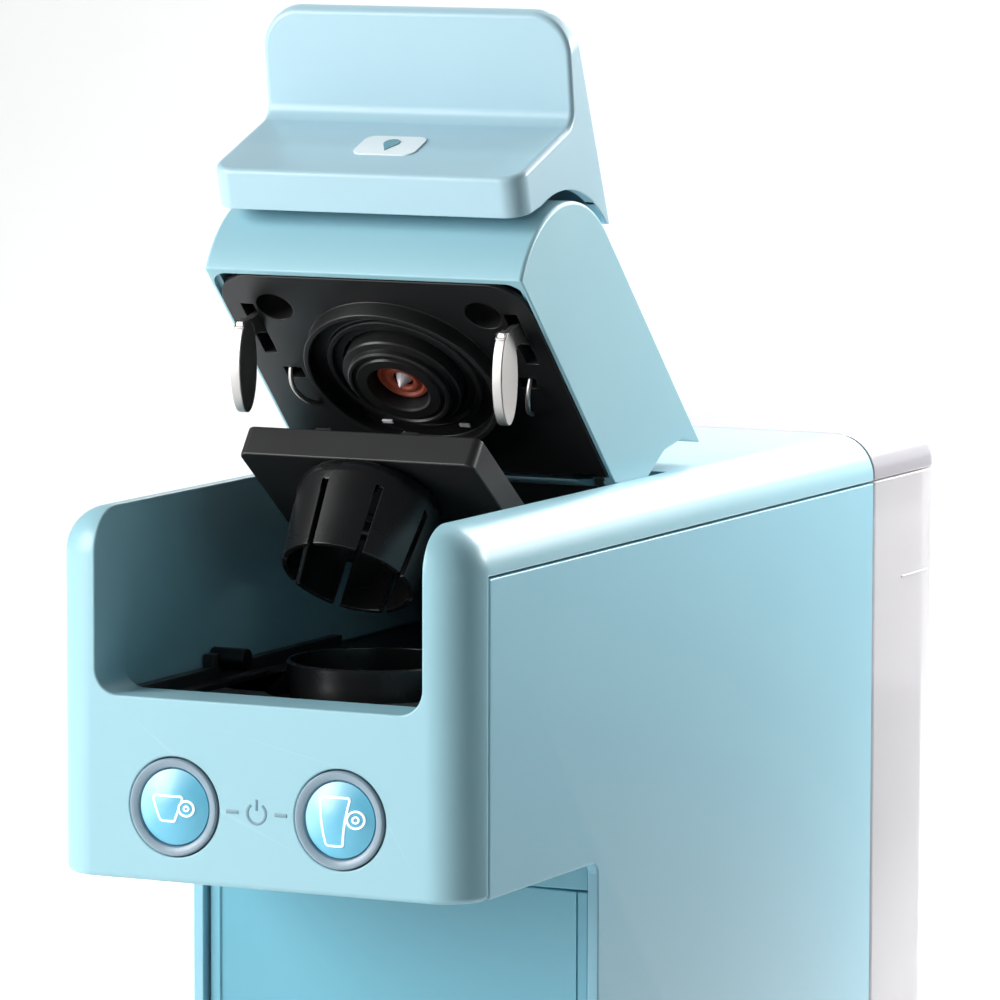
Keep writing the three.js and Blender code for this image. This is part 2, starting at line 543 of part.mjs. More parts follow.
function waterCircuit() {
  const y = PUMP_Y;
  let pump = rodZ(0, y, 15, 44, 84, 28).add(box(-19, 19, y - 19, y + 19, 84, 118));
  pump = pump.add(rodZ(0, y, 9, 30, 46, 20));
  pump = pump.add(rodZ(0, y, 6, 116, 134, 20));
  pump = pump.add(rodZ(0, y, 3.5, 25.6, 32, 12));
  place("pump", pump, GREY);
  const grip = rodZ(0, y, 18, 34, 44 - GAP, 28).subtract(rodZ(0, y, 9.4, 30, 46, 20));
  place("pump_mount", grip, RUBBER);
  let boiler = box(-30, 30, 163, 205, UNDERSIDE - 26.4, UNDERSIDE + 8);
  boiler = boiler.add(rodX(184, UNDERSIDE - 8, 13, -38, 38, 24));
  boiler = boiler.add(rodZ(-24, 172, 4, UNDERSIDE + 6, UNDERSIDE + 14, 14));
  place("boiler", boiler, STEEL);
  place("flow_meter", rodZ(30, 196, 9, 30, 44, 24).add(rodZ(30, 196, 2.5, 24, 31, 12)), WHITE);
  let control = box(-44, -42, 163, 207, 40, 130).add(box(-42.5, -32, 160, 170, 60, 78));
  control = control.add(box(-42.5, -36, 188, 200, 90, 110));
  place("control_board", control, BOARD);
  const hoses = {
    inlet_hose: [[0, 205, 40], [3, 202, 39.4], [12, 199, 38], [20.5, 196, 37.5]],
    suction_hose: [[30, 196, 23.6], [30, 195.6, 19], [16, 187, 12.5], [3, 180, 13], [0, y, 19], [0, y, 25.3]],
    pressure_hose: [
      [0, y, 134.4], [0, y, 141], [-9, 180, 146.5], [-20, 183, 147.5], [-24, 184, 152], [-24, 184, 158.7],
    ],
    brew_hose: [
      [-24, 172, 200], [-24, 171.5, 203], [-28, 165, 206], [-30, 157, 205.6], [-30, 148, 205.6],
      [-22, 141, 205.8], [-20, 140, 208], [-20, 140, 210.9],
    ],
  };
  for (const [name, route] of Object.entries(hoses))
    place(name, tube(route, 1.9), HOSE);
  let socket = rodY(0, 40, 4.6, SHELL_BACK - 12, SHELL_BACK + 0.2, 20);
  socket = socket.add(rodY(0, 40, 8, SHELL_BACK - 6, SHELL_BACK - 3, 20));
  socket = socket.subtract(rodY(0, 40, 2.5, SHELL_BACK - 14, SHELL_BACK + 1, 16));
  place("tank_socket", socket, BLACK);
}

// ---- Water tank ----
function tank() {
  const y0 = SHELL_BACK + 0.5;
  const wall = 2;
  const z0 = BASE_TOP + GAP;
  const z1 = UNDERSIDE + 68.4;
  const plan = (d, front) => rounded(-HALF + d, y0 + front, HALF - d, TANK_BACK - d, [1, 1, 9.6, 9.6]);
  let s = alongZ(plan(0, 0), z0, z1, 6);
  s = s.subtract(alongZ(plan(wall, wall), z0 + wall, z1 + 1, 6));
  s = s.add(rodY(0, 40, 6, y0, y0 + 12, 20)).subtract(rodY(0, 40, 3, y0 - 1, y0 + 13, 16));
  place("tank", s, CLEAR);
  place("tank_valve", rodY(0, 40, 2.6, y0 + 1, y0 + 15, 14), WHITE);

  // The lid continues the rounded top of the body. Its rim drops inside the tank's walls.
  const top = BODY_TOP;
  const front = rounded(-HALF, z1 + GAP, HALF, top, [0, 0, 10.5, 10.5]);
  const side = rounded(y0, z1 + GAP, TANK_BACK, top, [0, 0, 9.6, 0]);
  let lid = alongY(front, y0, TANK_BACK, 7).intersect(alongX(side, -HALF, HALF, 7));
  lid = lid.intersect(alongZ(plan(0, 0), z1, top + 1, 6));
  lid = lid.add(alongZ(plan(wall + GAP, 6.5), z1 - 8.4, z1 + 1, 6));
  lid = lid.subtract(alongZ(plan(4, 8.3), z1 - 9, top - 3.5, 6));
  place("tank_lid", lid, WHITE);
}

// ---- Drawer ----
function drawer() {
  const y0 = COLUMN_FRONT + 7;
  let bin = box(-44, 44, y0 + 4, 148, 8, 150);
  bin = bin.subtract(box(-42, 42, y0 + 6, 146, 10, 151));
  place("capsule_bin", bin, BLACK);
  let front = box(-46.7, 46.7, COLUMN_FRONT + 1.8, y0 + 3.7, 24, UNDERSIDE - 6.9);
  front = front.subtract(dish());
  place("drawer_front", front, BLUE);
  let tray = box(-46.5, 46.5, TRAY_FRONT + 14, y0 + 3.7, 7.5, 23.6);
  const planTray = rounded(-46.5, TRAY_FRONT, 46.5, COLUMN_FRONT, [12, 12, 0, 0]);
  tray = tray.add(alongZ(planTray, 7.5, 23.6, 6));
  const basin = rounded(-44, TRAY_FRONT + 4.5, 44, COLUMN_FRONT - 1, [8, 8, 0, 0]);
  tray = tray.subtract(alongZ(basin, 10, 26, 6));
  place("drip_tray", tray, BLACK);
  let grille = alongZ(rounded(-43.5, TRAY_FRONT + 5, 43.5, COLUMN_FRONT - 1.5, [9, 9, 0, 0]), 21, 23.6, 6);
  const slots = 9;
  for (let i = 0; i < slots; i++) {
    const y = TRAY_FRONT + 15 + i * 8.6;
    grille = grille.subtract(box(-36, 36, y, y + 4, 20, 25));
  }
  place("tray_grille", grille, STEEL);
}

// A shallow scoop across the front of the drawer.
function dish() {
  const r = 420;
  const depth = 2.5;
  return toSolid(new THREE.CylinderGeometry(r, r, 200, 160).translate(0, 0, 0))
    .rotate([90, 0, 0]).translate([0, COLUMN_FRONT + 1.8 - r + depth, 100])
    .intersect(box(-44, 44, -20, 120, 28, 190));
}

// ---- Mains ----
function mains() {
  let gland = rodY(-30, 11.5, 4, TANK_BACK - 13.5, TANK_BACK - 0.5, 20);
  gland = gland.subtract(rodY(-30, 11.5, 2.6, TANK_BACK - 10, TANK_BACK + 1, 16));
  place("cord_gland", gland, RUBBER);
}

const SWITCH = { y: TANK_BACK - 5, z: 12 };
function powerSwitch() {
  const body = hinged(SWITCH, 7, group);
  place("power_switch", box(13.8, 30.2, TANK_BACK - 5, TANK_BACK - 1.2, 8, 16), BLACK, body);
}

mainShell();
sidePanels();
base();
chamber();
headShell();
headPlate();
headYoke();
leverShell();
leverYoke();
hooks();
badge();
carrierFrame();
crown();
buttons();
column();
waterCircuit();
tank();
drawer();
mains();
powerSwitch();

export default group;
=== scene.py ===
import itertools
import json
import math

import bmesh
import bpy
from mathutils import Matrix, Vector


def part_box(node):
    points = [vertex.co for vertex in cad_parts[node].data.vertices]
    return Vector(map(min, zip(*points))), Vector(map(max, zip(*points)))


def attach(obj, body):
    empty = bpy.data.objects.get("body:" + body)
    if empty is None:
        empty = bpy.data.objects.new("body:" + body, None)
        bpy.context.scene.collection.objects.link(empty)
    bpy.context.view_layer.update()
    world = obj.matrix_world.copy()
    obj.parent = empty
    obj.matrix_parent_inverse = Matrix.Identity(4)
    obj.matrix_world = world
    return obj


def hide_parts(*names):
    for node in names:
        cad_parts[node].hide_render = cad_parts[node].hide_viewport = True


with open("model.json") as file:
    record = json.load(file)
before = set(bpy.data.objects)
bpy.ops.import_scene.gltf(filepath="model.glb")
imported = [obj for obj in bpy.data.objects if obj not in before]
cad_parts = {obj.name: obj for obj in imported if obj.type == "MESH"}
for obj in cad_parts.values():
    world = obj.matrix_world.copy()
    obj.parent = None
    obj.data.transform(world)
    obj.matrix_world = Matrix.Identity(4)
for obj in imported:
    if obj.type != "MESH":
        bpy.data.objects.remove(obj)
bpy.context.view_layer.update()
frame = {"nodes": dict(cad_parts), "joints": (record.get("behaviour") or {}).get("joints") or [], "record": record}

# Pieces are drawn in millimetres in the machine's own frame: y = 0 is the front face of the body and
# z = 0 is the table. Moving parts are drawn closed. Each piece is turned into its open place, and into
# the frame's metres, when it is finished.
MM = 0.001
FACE_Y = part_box("main_shell")[0].y
JOINTS = {joint["name"]: joint for joint in frame["joints"]}


def span(node):
    """Lowest and highest corner of a CAD node, in millimetres in the machine's own frame."""
    low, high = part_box(node)
    shift = Vector((0, FACE_Y, 0))
    return (low - shift) / MM, (high - shift) / MM


def place_of(joint):
    x, y, z = JOINTS[joint]["pos_m"]
    return Vector((0, (y - FACE_Y) / MM, z / MM))


def about_x(centre, degrees):
    """A turn about the X line through centre. Positive degrees open the machine's moving parts."""
    return (Matrix.Translation(centre) @ Matrix.Rotation(-math.radians(degrees), 4, "X")
            @ Matrix.Translation(-centre))


SHELL = span("main_shell")
HALF = SHELL[1].x
U = SHELL[0].z                      # underside of the overhang
TOP = SHELL[1].z
SHELL_BACK = SHELL[1].y
TUB = span("chamber_tub")
CUT_HALF = TUB[1].x + 0.3           # half width of the brewing chamber
CUT_FLOOR = U + 39.7
BUTTON_LEFT = (span("button_left")[0] + span("button_left")[1]) / 2
HINGE = place_of("head_tilt")
HEAD_OPEN = JOINTS["head_tilt"]["range_deg"][1]
LEVER_OPEN = JOINTS["lever_turn"]["range_deg"][1]
CARRIER = place_of("carrier_swing")
CARRIER_OPEN = JOINTS["carrier_swing"]["range_deg"][1]
HEAD_TURN = about_x(HINGE, HEAD_OPEN)
PIVOT = HEAD_TURN.inverted() @ place_of("lever_turn")
LEVER_TURN = HEAD_TURN @ about_x(PIVOT, LEVER_OPEN)
CARRIER_TURN = about_x(CARRIER, CARRIER_OPEN)
BREW_Y = (span("lift_cup")[0].y + span("lift_cup")[1].y) / 2
HEAD_BASE = U + 44                  # lower face of the closed head
NOSE_R = 27                         # radius of the head's round front
SCREW_X = 25.4
SCREW_Y = PIVOT.y - 13.5
LEVER_FRONT = 9.8                   # depth of the lever's flat front face when it is closed
FINE = 96                           # sides of a round piece


# ---------------------------------------------------------------- outlines

def arc(centre, radius, start, end, steps):
    """Points of an arc, with angles in degrees."""
    angles = [math.radians(start + (end - start) * i / steps) for i in range(steps + 1)]
    return [(centre[0] + radius * math.cos(a), centre[1] + radius * math.sin(a)) for a in angles]


def rounded(corners, steps=10):
    """A closed outline of (u, v, radius) corners, each corner rounded by an arc of its radius."""
    points = []
    count = len(corners)
    for i, (u, v, radius) in enumerate(corners):
        here = Vector((u, v))
        if not radius:
            points.append((u, v))
            continue
        before = (Vector(corners[i - 1][:2]) - here).normalized()
        after = (Vector(corners[(i + 1) % count][:2]) - here).normalized()
        half = before.angle(after) / 2
        reach = radius / math.tan(half)
        middle = here + (before + after).normalized() * (radius / math.sin(half))
        start = here + before * reach - middle
        end = here + after * reach - middle
        turn = start.angle_signed(end)
        for k in range(steps + 1):
            p = start.copy()
            p.rotate(Matrix.Rotation(-turn * k / steps, 2))
            points.append(tuple(middle + p))
    return points


def rectangle(u0, v0, u1, v1, radii=(0, 0, 0, 0)):
    """A rectangle with corner radii given from the lower left, anticlockwise."""
    a, b, c, d = radii
    return rounded([(u0, v0, a), (u1, v0, b), (u1, v1, c), (u0, v1, d)])


# ---------------------------------------------------------------- solids

def solid(bm):
    """An object made of a bmesh, with doubled points merged and its faces turned outwards."""
    mesh = bpy.data.meshes.new("solid")
    bmesh.ops.remove_doubles(bm, verts=bm.verts, dist=1e-4)
    bmesh.ops.recalc_face_normals(bm, faces=bm.faces)
    bm.to_mesh(mesh)
    bm.free()
    made = bpy.data.objects.new("solid", mesh)
    bpy.context.scene.collection.objects.link(made)
    return made


AXES = {"x": (1, 2, 0), "y": (0, 2, 1), "z": (0, 1, 2)}


def prism(points, axis, start, end):
    """An outline drawn in the plane across an axis, and drawn out along that axis."""
    u, v, w = AXES[axis]
    bm = bmesh.new()
    rings = []
    for depth in (start, end):
        ring = []
        for p in points:
            co = [0, 0, 0]
            co[u], co[v], co[w] = p[0], p[1], depth
            ring.append(bm.verts.new(co))
        rings.append(ring)
    bm.faces.new(rings[0])
    bm.faces.new(rings[1])
    count = len(points)
    for i in range(count):
        k = (i + 1) % count
        bm.faces.new((rings[0][i], rings[0][k], rings[1][k], rings[1][i]))
    return solid(bm)


def block(x0, x1, y0, y1, z0, z1):
    return prism([(x0, y0), (x1, y0), (x1, y1), (x0, y1)], "z", z0, z1)


def rod(axis, u, v, radius, start, end, sides=FINE):
    return prism(arc((u, v), radius, 0, 360, sides)[:-1], axis, start, end)


def lathe(profile, axis, u, v, sides=FINE):
    """A closed profile of (radius, height) points turned round an axis that passes through (u, v)."""
    first, second, along = AXES[axis]
    bm = bmesh.new()
    rings = []
    for i in range(sides):
        a = 2 * math.pi * i / sides
        ring = []
        for radius, height in profile:
            co = [0, 0, 0]
            co[first] = u + radius * math.cos(a)
            co[second] = v + radius * math.sin(a)
            co[along] = height
            ring.append(bm.verts.new(co))
        rings.append(ring)
    count = len(profile)
    for i in range(sides):
        a, b = rings[i], rings[(i + 1) % sides]
        for k in range(count):
            m = (k + 1) % count
            if profile[k][0] > 1e-6 or profile[m][0] > 1e-6:
                bm.faces.new((a[k], b[k], b[m], a[m]))
    bmesh.ops.remove_doubles(bm, verts=bm.verts, dist=1e-5)
    bmesh.ops.dissolve_degenerate(bm, edges=bm.edges, dist=1e-5)
    return solid(bm)


def ball_box(low, high, radius, steps=12):
    """A box whose edges and corners all have the same radius."""
    bm = bmesh.new()
    for signs in itertools.product((-1, 1), repeat=3):
        centre = [high[n] - radius if signs[n] > 0 else low[n] + radius for n in range(3)]
        for i in range(steps + 1):
            theta = math.pi / 2 * i / steps
            for k in range(steps + 1):
                phi = math.pi / 2 * k / steps
                flat = math.cos(theta)
                d = (flat * math.cos(phi), flat * math.sin(phi), math.sin(theta))
                bm.verts.new([centre[n] + radius * signs[n] * d[n] for n in range(3)])
    bmesh.ops.remove_doubles(bm, verts=bm.verts, dist=1e-4)
    hull = bmesh.ops.convex_hull(bm, input=bm.verts)
    loose = [g for g in hull["geom_interior"] if isinstance(g, bmesh.types.BMVert)]
    bmesh.ops.delete(bm, geom=loose, context="VERTS")
    bmesh.ops.dissolve_limit(bm, angle_limit=math.radians(0.3), verts=bm.verts, edges=bm.edges)
    return solid(bm)


def combine(first, operation, *others):
    """Applies a boolean of each other object to the first one, and removes the others."""
    for other in others:
        modifier = first.modifiers.new("combine", "BOOLEAN")
        modifier.object = other
        modifier.operation = operation
        modifier.solver = "MANIFOLD"
        graph = bpy.context.evaluated_depsgraph_get()
        result = bpy.data.meshes.new_from_object(first.evaluated_get(graph))
        first.modifiers.clear()
        first.data = result
        bpy.data.objects.remove(other)
    return first


def cut(first, *others):
    return combine(first, "DIFFERENCE", *others)


def join(first, *others):
    return combine(first, "UNION", *others)


def common(first, *others):
    return combine(first, "INTERSECT", *others)


def sides(make):
    """What make gives for the left side and for the right side."""
    return [make(-1), make(1)]


def tube(points, radius, closed=False):
    """A round bead along a line of points."""
    curve = bpy.data.curves.new("tube", "CURVE")
    curve.dimensions = "3D"
    spline = curve.splines.new("POLY")
    spline.points.add(len(points) - 1)
    for target, p in zip(spline.points, points):
        target.co = (*p, 1)
    spline.use_cyclic_u = closed
    curve.bevel_depth = radius
    curve.bevel_resolution = 3
    curve.use_fill_caps = True
    holder = bpy.data.objects.new("tube", curve)
    bpy.context.scene.collection.objects.link(holder)
    graph = bpy.context.evaluated_depsgraph_get()
    mesh = bpy.data.meshes.new_from_object(holder.evaluated_get(graph))
    bpy.data.objects.remove(holder)
    bm = bmesh.new()
    bm.from_mesh(mesh)
    return solid(bm)


def merged(objects):
    """Several meshes as one object, without a boolean."""
    bm = bmesh.new()
    for obj in objects:
        bm.from_mesh(obj.data)
    for obj in objects[1:]:
        bpy.data.objects.remove(obj)
    mesh = bpy.data.meshes.new("merged")
    bm.to_mesh(mesh)
    bm.free()
    objects[0].data = mesh
    return objects[0]


# ---------------------------------------------------------------- finishing a piece

BODY_OF = {node: body for body, nodes in frame["record"]["behaviour"]["bodies"].items() for node in nodes}
FLAT = 0.4                          # faces that meet at less than this many degrees become one
EDGE = 50                           # those that meet at more than this get a rounded edge
CREASE = 34                         # and those at more than this are shaded as separate faces


def soften(obj, width, weight=None, segments=3):
    """Rounds the sharp edges of a piece by width, in metres. weight scales it by the edge's place."""
    bm = bmesh.new()
    bm.from_mesh(obj.data)
    limit = math.radians(FLAT)
    bmesh.ops.dissolve_limit(bm, angle_limit=limit, verts=bm.verts, edges=bm.edges)
    bmesh.ops.recalc_face_normals(bm, faces=bm.faces)
    layer = bm.edges.layers.float.new("bevel_weight_edge")
    for edge in bm.edges:
        sharp = len(edge.link_faces) == 2 and edge.calc_face_angle(0) > math.radians(EDGE)
        if sharp:
            middle = (edge.verts[0].co + edge.verts[1].co) / 2
            edge[layer] = weight(middle) if weight else 1
    for face in bm.faces:
        face.smooth = True
    bm.to_mesh(obj.data)
    bm.free()
    obj.data.set_sharp_from_angle(angle=math.radians(CREASE))
    if width:
        bevel = obj.modifiers.new("edges", "BEVEL")
        bevel.limit_method = "WEIGHT"
        bevel.width = width
        bevel.segments = segments
        bevel.use_clamp_overlap = False
        bevel.harden_normals = False
    normals = obj.modifiers.new("normals", "WEIGHTED_NORMAL")
    normals.mode = "FACE_AREA"
    normals.weight = 50
    normals.keep_sharp = not width


def finish(obj, name, body, material, width=0.4, weight=None, turn=None, stands_for=(),
           segments=3):
    """Turns a piece drawn in millimetres into a named piece of the frame."""
    obj.name = name
    obj.data.name = name
    soften(obj, width * MM, weight, segments)
    to_frame = Matrix.Translation((0, FACE_Y, 0)) @ Matrix.Scale(MM, 4)
    obj.data.transform(to_frame @ turn if turn else to_frame)
    obj.data.materials.clear()
    obj.data.materials.append(material)
    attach(obj, body)
    if stands_for:
        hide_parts(*stands_for)
    return obj


def refined(node, material, width=0.35, segments=2):
    """A copy of a CAD node with its edges rounded, which stands for the node."""
    source = frame["nodes"][node]
    obj = bpy.data.objects.new(node + "_piece", source.data.copy())
    bpy.context.scene.collection.objects.link(obj)
    bm = bmesh.new()
    bm.from_mesh(obj.data)
    bmesh.ops.remove_doubles(bm, verts=bm.verts, dist=2e-6)
    bm.to_mesh(obj.data)
    bm.free()
    soften(obj, width * MM, segments=segments)
    obj.data.materials.clear()
    obj.data.materials.append(material)
    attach(obj, BODY_OF[node])
    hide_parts(node)
    return obj


# ---------------------------------------------------------------- materials

def nodes_of(name):
    """A new material with its node tree and its shader."""
    material = bpy.data.materials.new(name)
    material.use_nodes = True
    tree = material.node_tree
    shader = next(n for n in tree.nodes if n.type == "BSDF_PRINCIPLED")
    return material, tree, shader


def noise(tree, scale, detail=3, stretch=None):
    """Noise over the piece's own coordinates. scale is in features per metre."""
    place = tree.nodes.new("ShaderNodeTexCoord")
    texture = tree.nodes.new("ShaderNodeTexNoise")
    texture.inputs["Scale"].default_value = scale
    texture.inputs["Detail"].default_value = detail
    source = place.outputs["Object"]
    if stretch:
        mapping = tree.nodes.new("ShaderNodeMapping")
        mapping.inputs["Scale"].default_value = stretch
        tree.links.new(source, mapping.inputs["Vector"])
        source = mapping.outputs["Vector"]
    tree.links.new(source, texture.inputs["Vector"])
    return texture.outputs["Fac"]


def ramp(tree, source, low, high, start=0.2, end=0.8):
    """Spreads a value over a range between two levels or two colours."""
    node = tree.nodes.new("ShaderNodeValToRGB")
    as_colour = [(v, v, v, 1) if isinstance(v, (int, float)) else (*v, 1) for v in (low, high)]
    node.color_ramp.elements[0].color, node.color_ramp.elements[1].color = as_colour
    node.color_ramp.elements[0].position = start
    node.color_ramp.elements[1].position = end
    tree.links.new(source, node.inputs["Fac"])
    return node.outputs["Color"]


def bump(tree, shader, layers):
    """Adds bump from several (height, strength, distance in metres) layers."""
    normal = None
    for height, strength, distance in layers:
        node = tree.nodes.new("ShaderNodeBump")
        node.inputs["Strength"].default_value = strength
        node.inputs["Distance"].default_value = distance
        tree.links.new(height, node.inputs["Height"])
        if normal:
            tree.links.new(normal, node.inputs["Normal"])
        normal = node.outputs["Normal"]
    tree.links.new(normal, shader.inputs["Normal"])


def worn(tree, shader, base, rubbed, share=0.5):
    """Colour with a slightly lighter, rubbed look along the convex edges and slow uneven tone."""
    geometry = tree.nodes.new("ShaderNodeNewGeometry")
    edge = ramp(tree, geometry.outputs["Pointiness"], 0.0, share, 0.52, 0.60)
    tone = ramp(tree, noise(tree, 14, 2), [c * 0.975 for c in base], [min(1, c * 1.02) for c in base])
    mix = tree.nodes.new("ShaderNodeMix")
    mix.data_type = "RGBA"
    tree.links.new(edge, mix.inputs["Factor"])
    tree.links.new(tone, mix.inputs[6])
    mix.inputs[7].default_value = (*rubbed, 1)
    tree.links.new(mix.outputs[2], shader.inputs["Base Color"])


def moulded(name, base, rubbed, rough, grain, specular=0.5):
    """Moulded plastic: fine spark-eroded grain, faint flow marks, smudged gloss."""
    material, tree, shader = nodes_of(name)
    worn(tree, shader, base, rubbed, 0.35)
    tree.links.new(ramp(tree, noise(tree, 55, 4), rough[0], rough[1]), shader.inputs["Roughness"])
    shader.inputs["Specular IOR Level"].default_value = specular
    bump(tree, shader, [(noise(tree, 5200, 2), grain, 0.00005), (noise(tree, 90, 3), grain * 0.6, 0.0002)])
    return material


def metal(name, base, rough, stretch=(1, 1, 40)):
    """Ground or drawn metal with fine lines along one direction and a few smudges."""
    material, tree, shader = nodes_of(name)
    worn(tree, shader, base, [min(1, c * 1.12) for c in base], 0.4)
    shader.inputs["Metallic"].default_value = 1
    tree.links.new(ramp(tree, noise(tree, 70, 5), rough[0], rough[1]), shader.inputs["Roughness"])
    lines = noise(tree, 900, 4, stretch)
    bump(tree, shader, [(lines, 0.10, 0.00004)])
    return material


def milky(name, base, alpha, rough, grain=0.03):
    """Clear plastic that scatters a little light."""
    material, tree, shader = nodes_of(name)
    worn(tree, shader, base, [min(1, c * 1.05) for c in base], 0.3)
    shader.inputs["Alpha"].default_value = alpha
    tree.links.new(ramp(tree, noise(tree, 40, 3), rough[0], rough[1]), shader.inputs["Roughness"])
    bump(tree, shader, [(noise(tree, 600, 2), grain, 0.00008)])
    return material


def rubbery(name, base, rough=(0.55, 0.75)):
    """Moulded rubber or silicone with a fine grain."""
    material, tree, shader = nodes_of(name)
    worn(tree, shader, base, [min(1, c * 1.5 + 0.02) for c in base], 0.4)
    tree.links.new(ramp(tree, noise(tree, 120, 4), rough[0], rough[1]), shader.inputs["Roughness"])
    bump(tree, shader, [(noise(tree, 3000, 3), 0.2, 0.00006)])
    return material


def dome_with_painted_light(name):
    """Pale blue dome, lit from inside a little, with painted light that makes it lighter towards its upper left.
    """
    material, tree, shader = nodes_of(name)
    place = tree.nodes.new("ShaderNodeTexCoord")
    split = tree.nodes.new("ShaderNodeSeparateXYZ")
    tree.links.new(place.outputs["Generated"], split.inputs["Vector"])
    # Painted light: the colour and the glow go from darker at the lower right to lighter at the upper left.
    slope = tree.nodes.new("ShaderNodeMath")
    slope.operation = "SUBTRACT"
    tree.links.new(split.outputs["Z"], slope.inputs[0])
    tree.links.new(split.outputs["X"], slope.inputs[1])
    tone = ramp(tree, slope.outputs[0], (0.13, 0.45, 0.62), (0.42, 0.72, 0.82), 0.0, 0.8)
    tree.links.new(tone, shader.inputs["Base Color"])
    tree.links.new(tone, shader.inputs["Emission Color"])
    shader.inputs["Emission Strength"].default_value = 0.16
    tree.links.new(ramp(tree, noise(tree, 150, 3), 0.26, 0.36), shader.inputs["Roughness"])
    bump(tree, shader, [(noise(tree, 300, 2), 0.02, 0.00005)])
    return material


def lit(name, base, strength):
    """A printed mark with a light behind it."""
    material, tree, shader = nodes_of(name)
    tone = ramp(tree, noise(tree, 900, 2), [c * 0.96 for c in base], base)
    tree.links.new(tone, shader.inputs["Base Color"])
    tree.links.new(tone, shader.inputs["Emission Color"])
    shader.inputs["Emission Strength"].default_value = strength
    tree.links.new(ramp(tree, noise(tree, 700, 2), 0.25, 0.4), shader.inputs["Roughness"])
    return material


def board_look(name):
    """Circuit board: green lacquer with paler tracks."""
    material, tree, shader = nodes_of(name)
    place = tree.nodes.new("ShaderNodeTexCoord")
    tracks = tree.nodes.new("ShaderNodeTexBrick")
    tracks.inputs["Scale"].default_value = 160
    tracks.inputs["Color1"].default_value = (0.02, 0.13, 0.05, 1)
    tracks.inputs["Color2"].default_value = (0.025, 0.16, 0.06, 1)
    tracks.inputs["Mortar"].default_value = (0.08, 0.30, 0.12, 1)
    tree.links.new(place.outputs["Object"], tracks.inputs["Vector"])
    tree.links.new(tracks.outputs["Color"], shader.inputs["Base Color"])
    tree.links.new(ramp(tree, noise(tree, 200, 3), 0.35, 0.5), shader.inputs["Roughness"])
    bump(tree, shader, [(tracks.outputs["Fac"], 0.3, 0.00005)])
    return material


BLUE = moulded("blue_plastic", (0.32, 0.57, 0.65), (0.42, 0.66, 0.73), (0.34, 0.40), 0.05)
# Painted light: a lighter copy of the body's blue for the lever, standing in for the stronger light on its faces.
LEVER_BLUE_PAINTED_LIGHT = moulded("blue_plastic_lever_painted_light", (0.41, 0.62, 0.71), (0.48, 0.70, 0.78), (0.28, 0.34), 0.05)
PANEL_BLUE = moulded("blue_plastic_panel", (0.27, 0.55, 0.67), (0.38, 0.64, 0.73), (0.28, 0.34), 0.05)
# Painted shade: a darker copy of the body's blue for the column trim and drawer front, standing in for the shade
# under the overhang.
BLUE_PAINTED_SHADE = moulded("blue_plastic_painted_shade", (0.15, 0.43, 0.54), (0.25, 0.52, 0.62), (0.30, 0.38), 0.05)
BLACK = moulded("black_plastic", (0.011, 0.011, 0.0115), (0.04, 0.04, 0.04), (0.30, 0.44), 0.12, 0.35)
TUB_BLACK = moulded("tub_plastic", (0.035, 0.035, 0.037), (0.07, 0.07, 0.07), (0.30, 0.44), 0.12)
CROWN_BLACK = moulded("crown_plastic", (0.006, 0.006, 0.0065), (0.03, 0.03, 0.03), (0.22, 0.34), 0.10)
CARRIER_BLACK = moulded("carrier_plastic", (0.014, 0.014, 0.0145), (0.07, 0.07, 0.07), (0.36, 0.48), 0.12)
GREY = moulded("grey_plastic", (0.24, 0.33, 0.40), (0.36, 0.45, 0.52), (0.26, 0.36), 0.05)
PRINT = moulded("grey_print", (0.17, 0.30, 0.36), (0.2, 0.33, 0.39), (0.35, 0.45), 0.04)
WHITE = moulded("white_plastic", (0.80, 0.79, 0.83), (0.9, 0.9, 0.92), (0.2, 0.3), 0.04)
LID = milky("lid_plastic", (0.42, 0.41, 0.44), 0.97, (0.16, 0.26))
TANK = milky("tank_plastic", (0.76, 0.745, 0.77), 0.60, (0.14, 0.24))
WATER = milky("water", (0.46, 0.455, 0.48), 0.75, (0.04, 0.08), 0.01)
STEEL = metal("polished_steel", (0.50, 0.485, 0.47), (0.38, 0.50))
DARK_STEEL = metal("blackened_steel", (0.06, 0.06, 0.065), (0.35, 0.5))
BRUSHED = metal("brushed_steel", (0.62, 0.62, 0.61), (0.26, 0.40), (40, 1, 1))
RED = rubbery("red_silicone", (0.36, 0.07, 0.035), (0.32, 0.45))
RUBBER = rubbery("black_rubber", (0.02, 0.02, 0.02))
HOSE = milky("silicone_hose", (0.62, 0.62, 0.58), 0.85, (0.3, 0.4))
BOARD = board_look("circuit_board")
# The buttons' domes carry painted light, lighter towards their upper left.
DOME = dome_with_painted_light("button_dome_painted_light")
ICON = lit("lit_icon", (0.93, 0.98, 1.0), 0.75)
BADGE = moulded("badge_face", (0.86, 0.93, 0.95), (0.95, 0.97, 0.98), (0.16, 0.24), 0.02)
BADGE_DROP = moulded("badge_mark", (0.10, 0.30, 0.36), (0.2, 0.4, 0.45), (0.25, 0.35), 0.03)


# ---------------------------------------------------------------- body

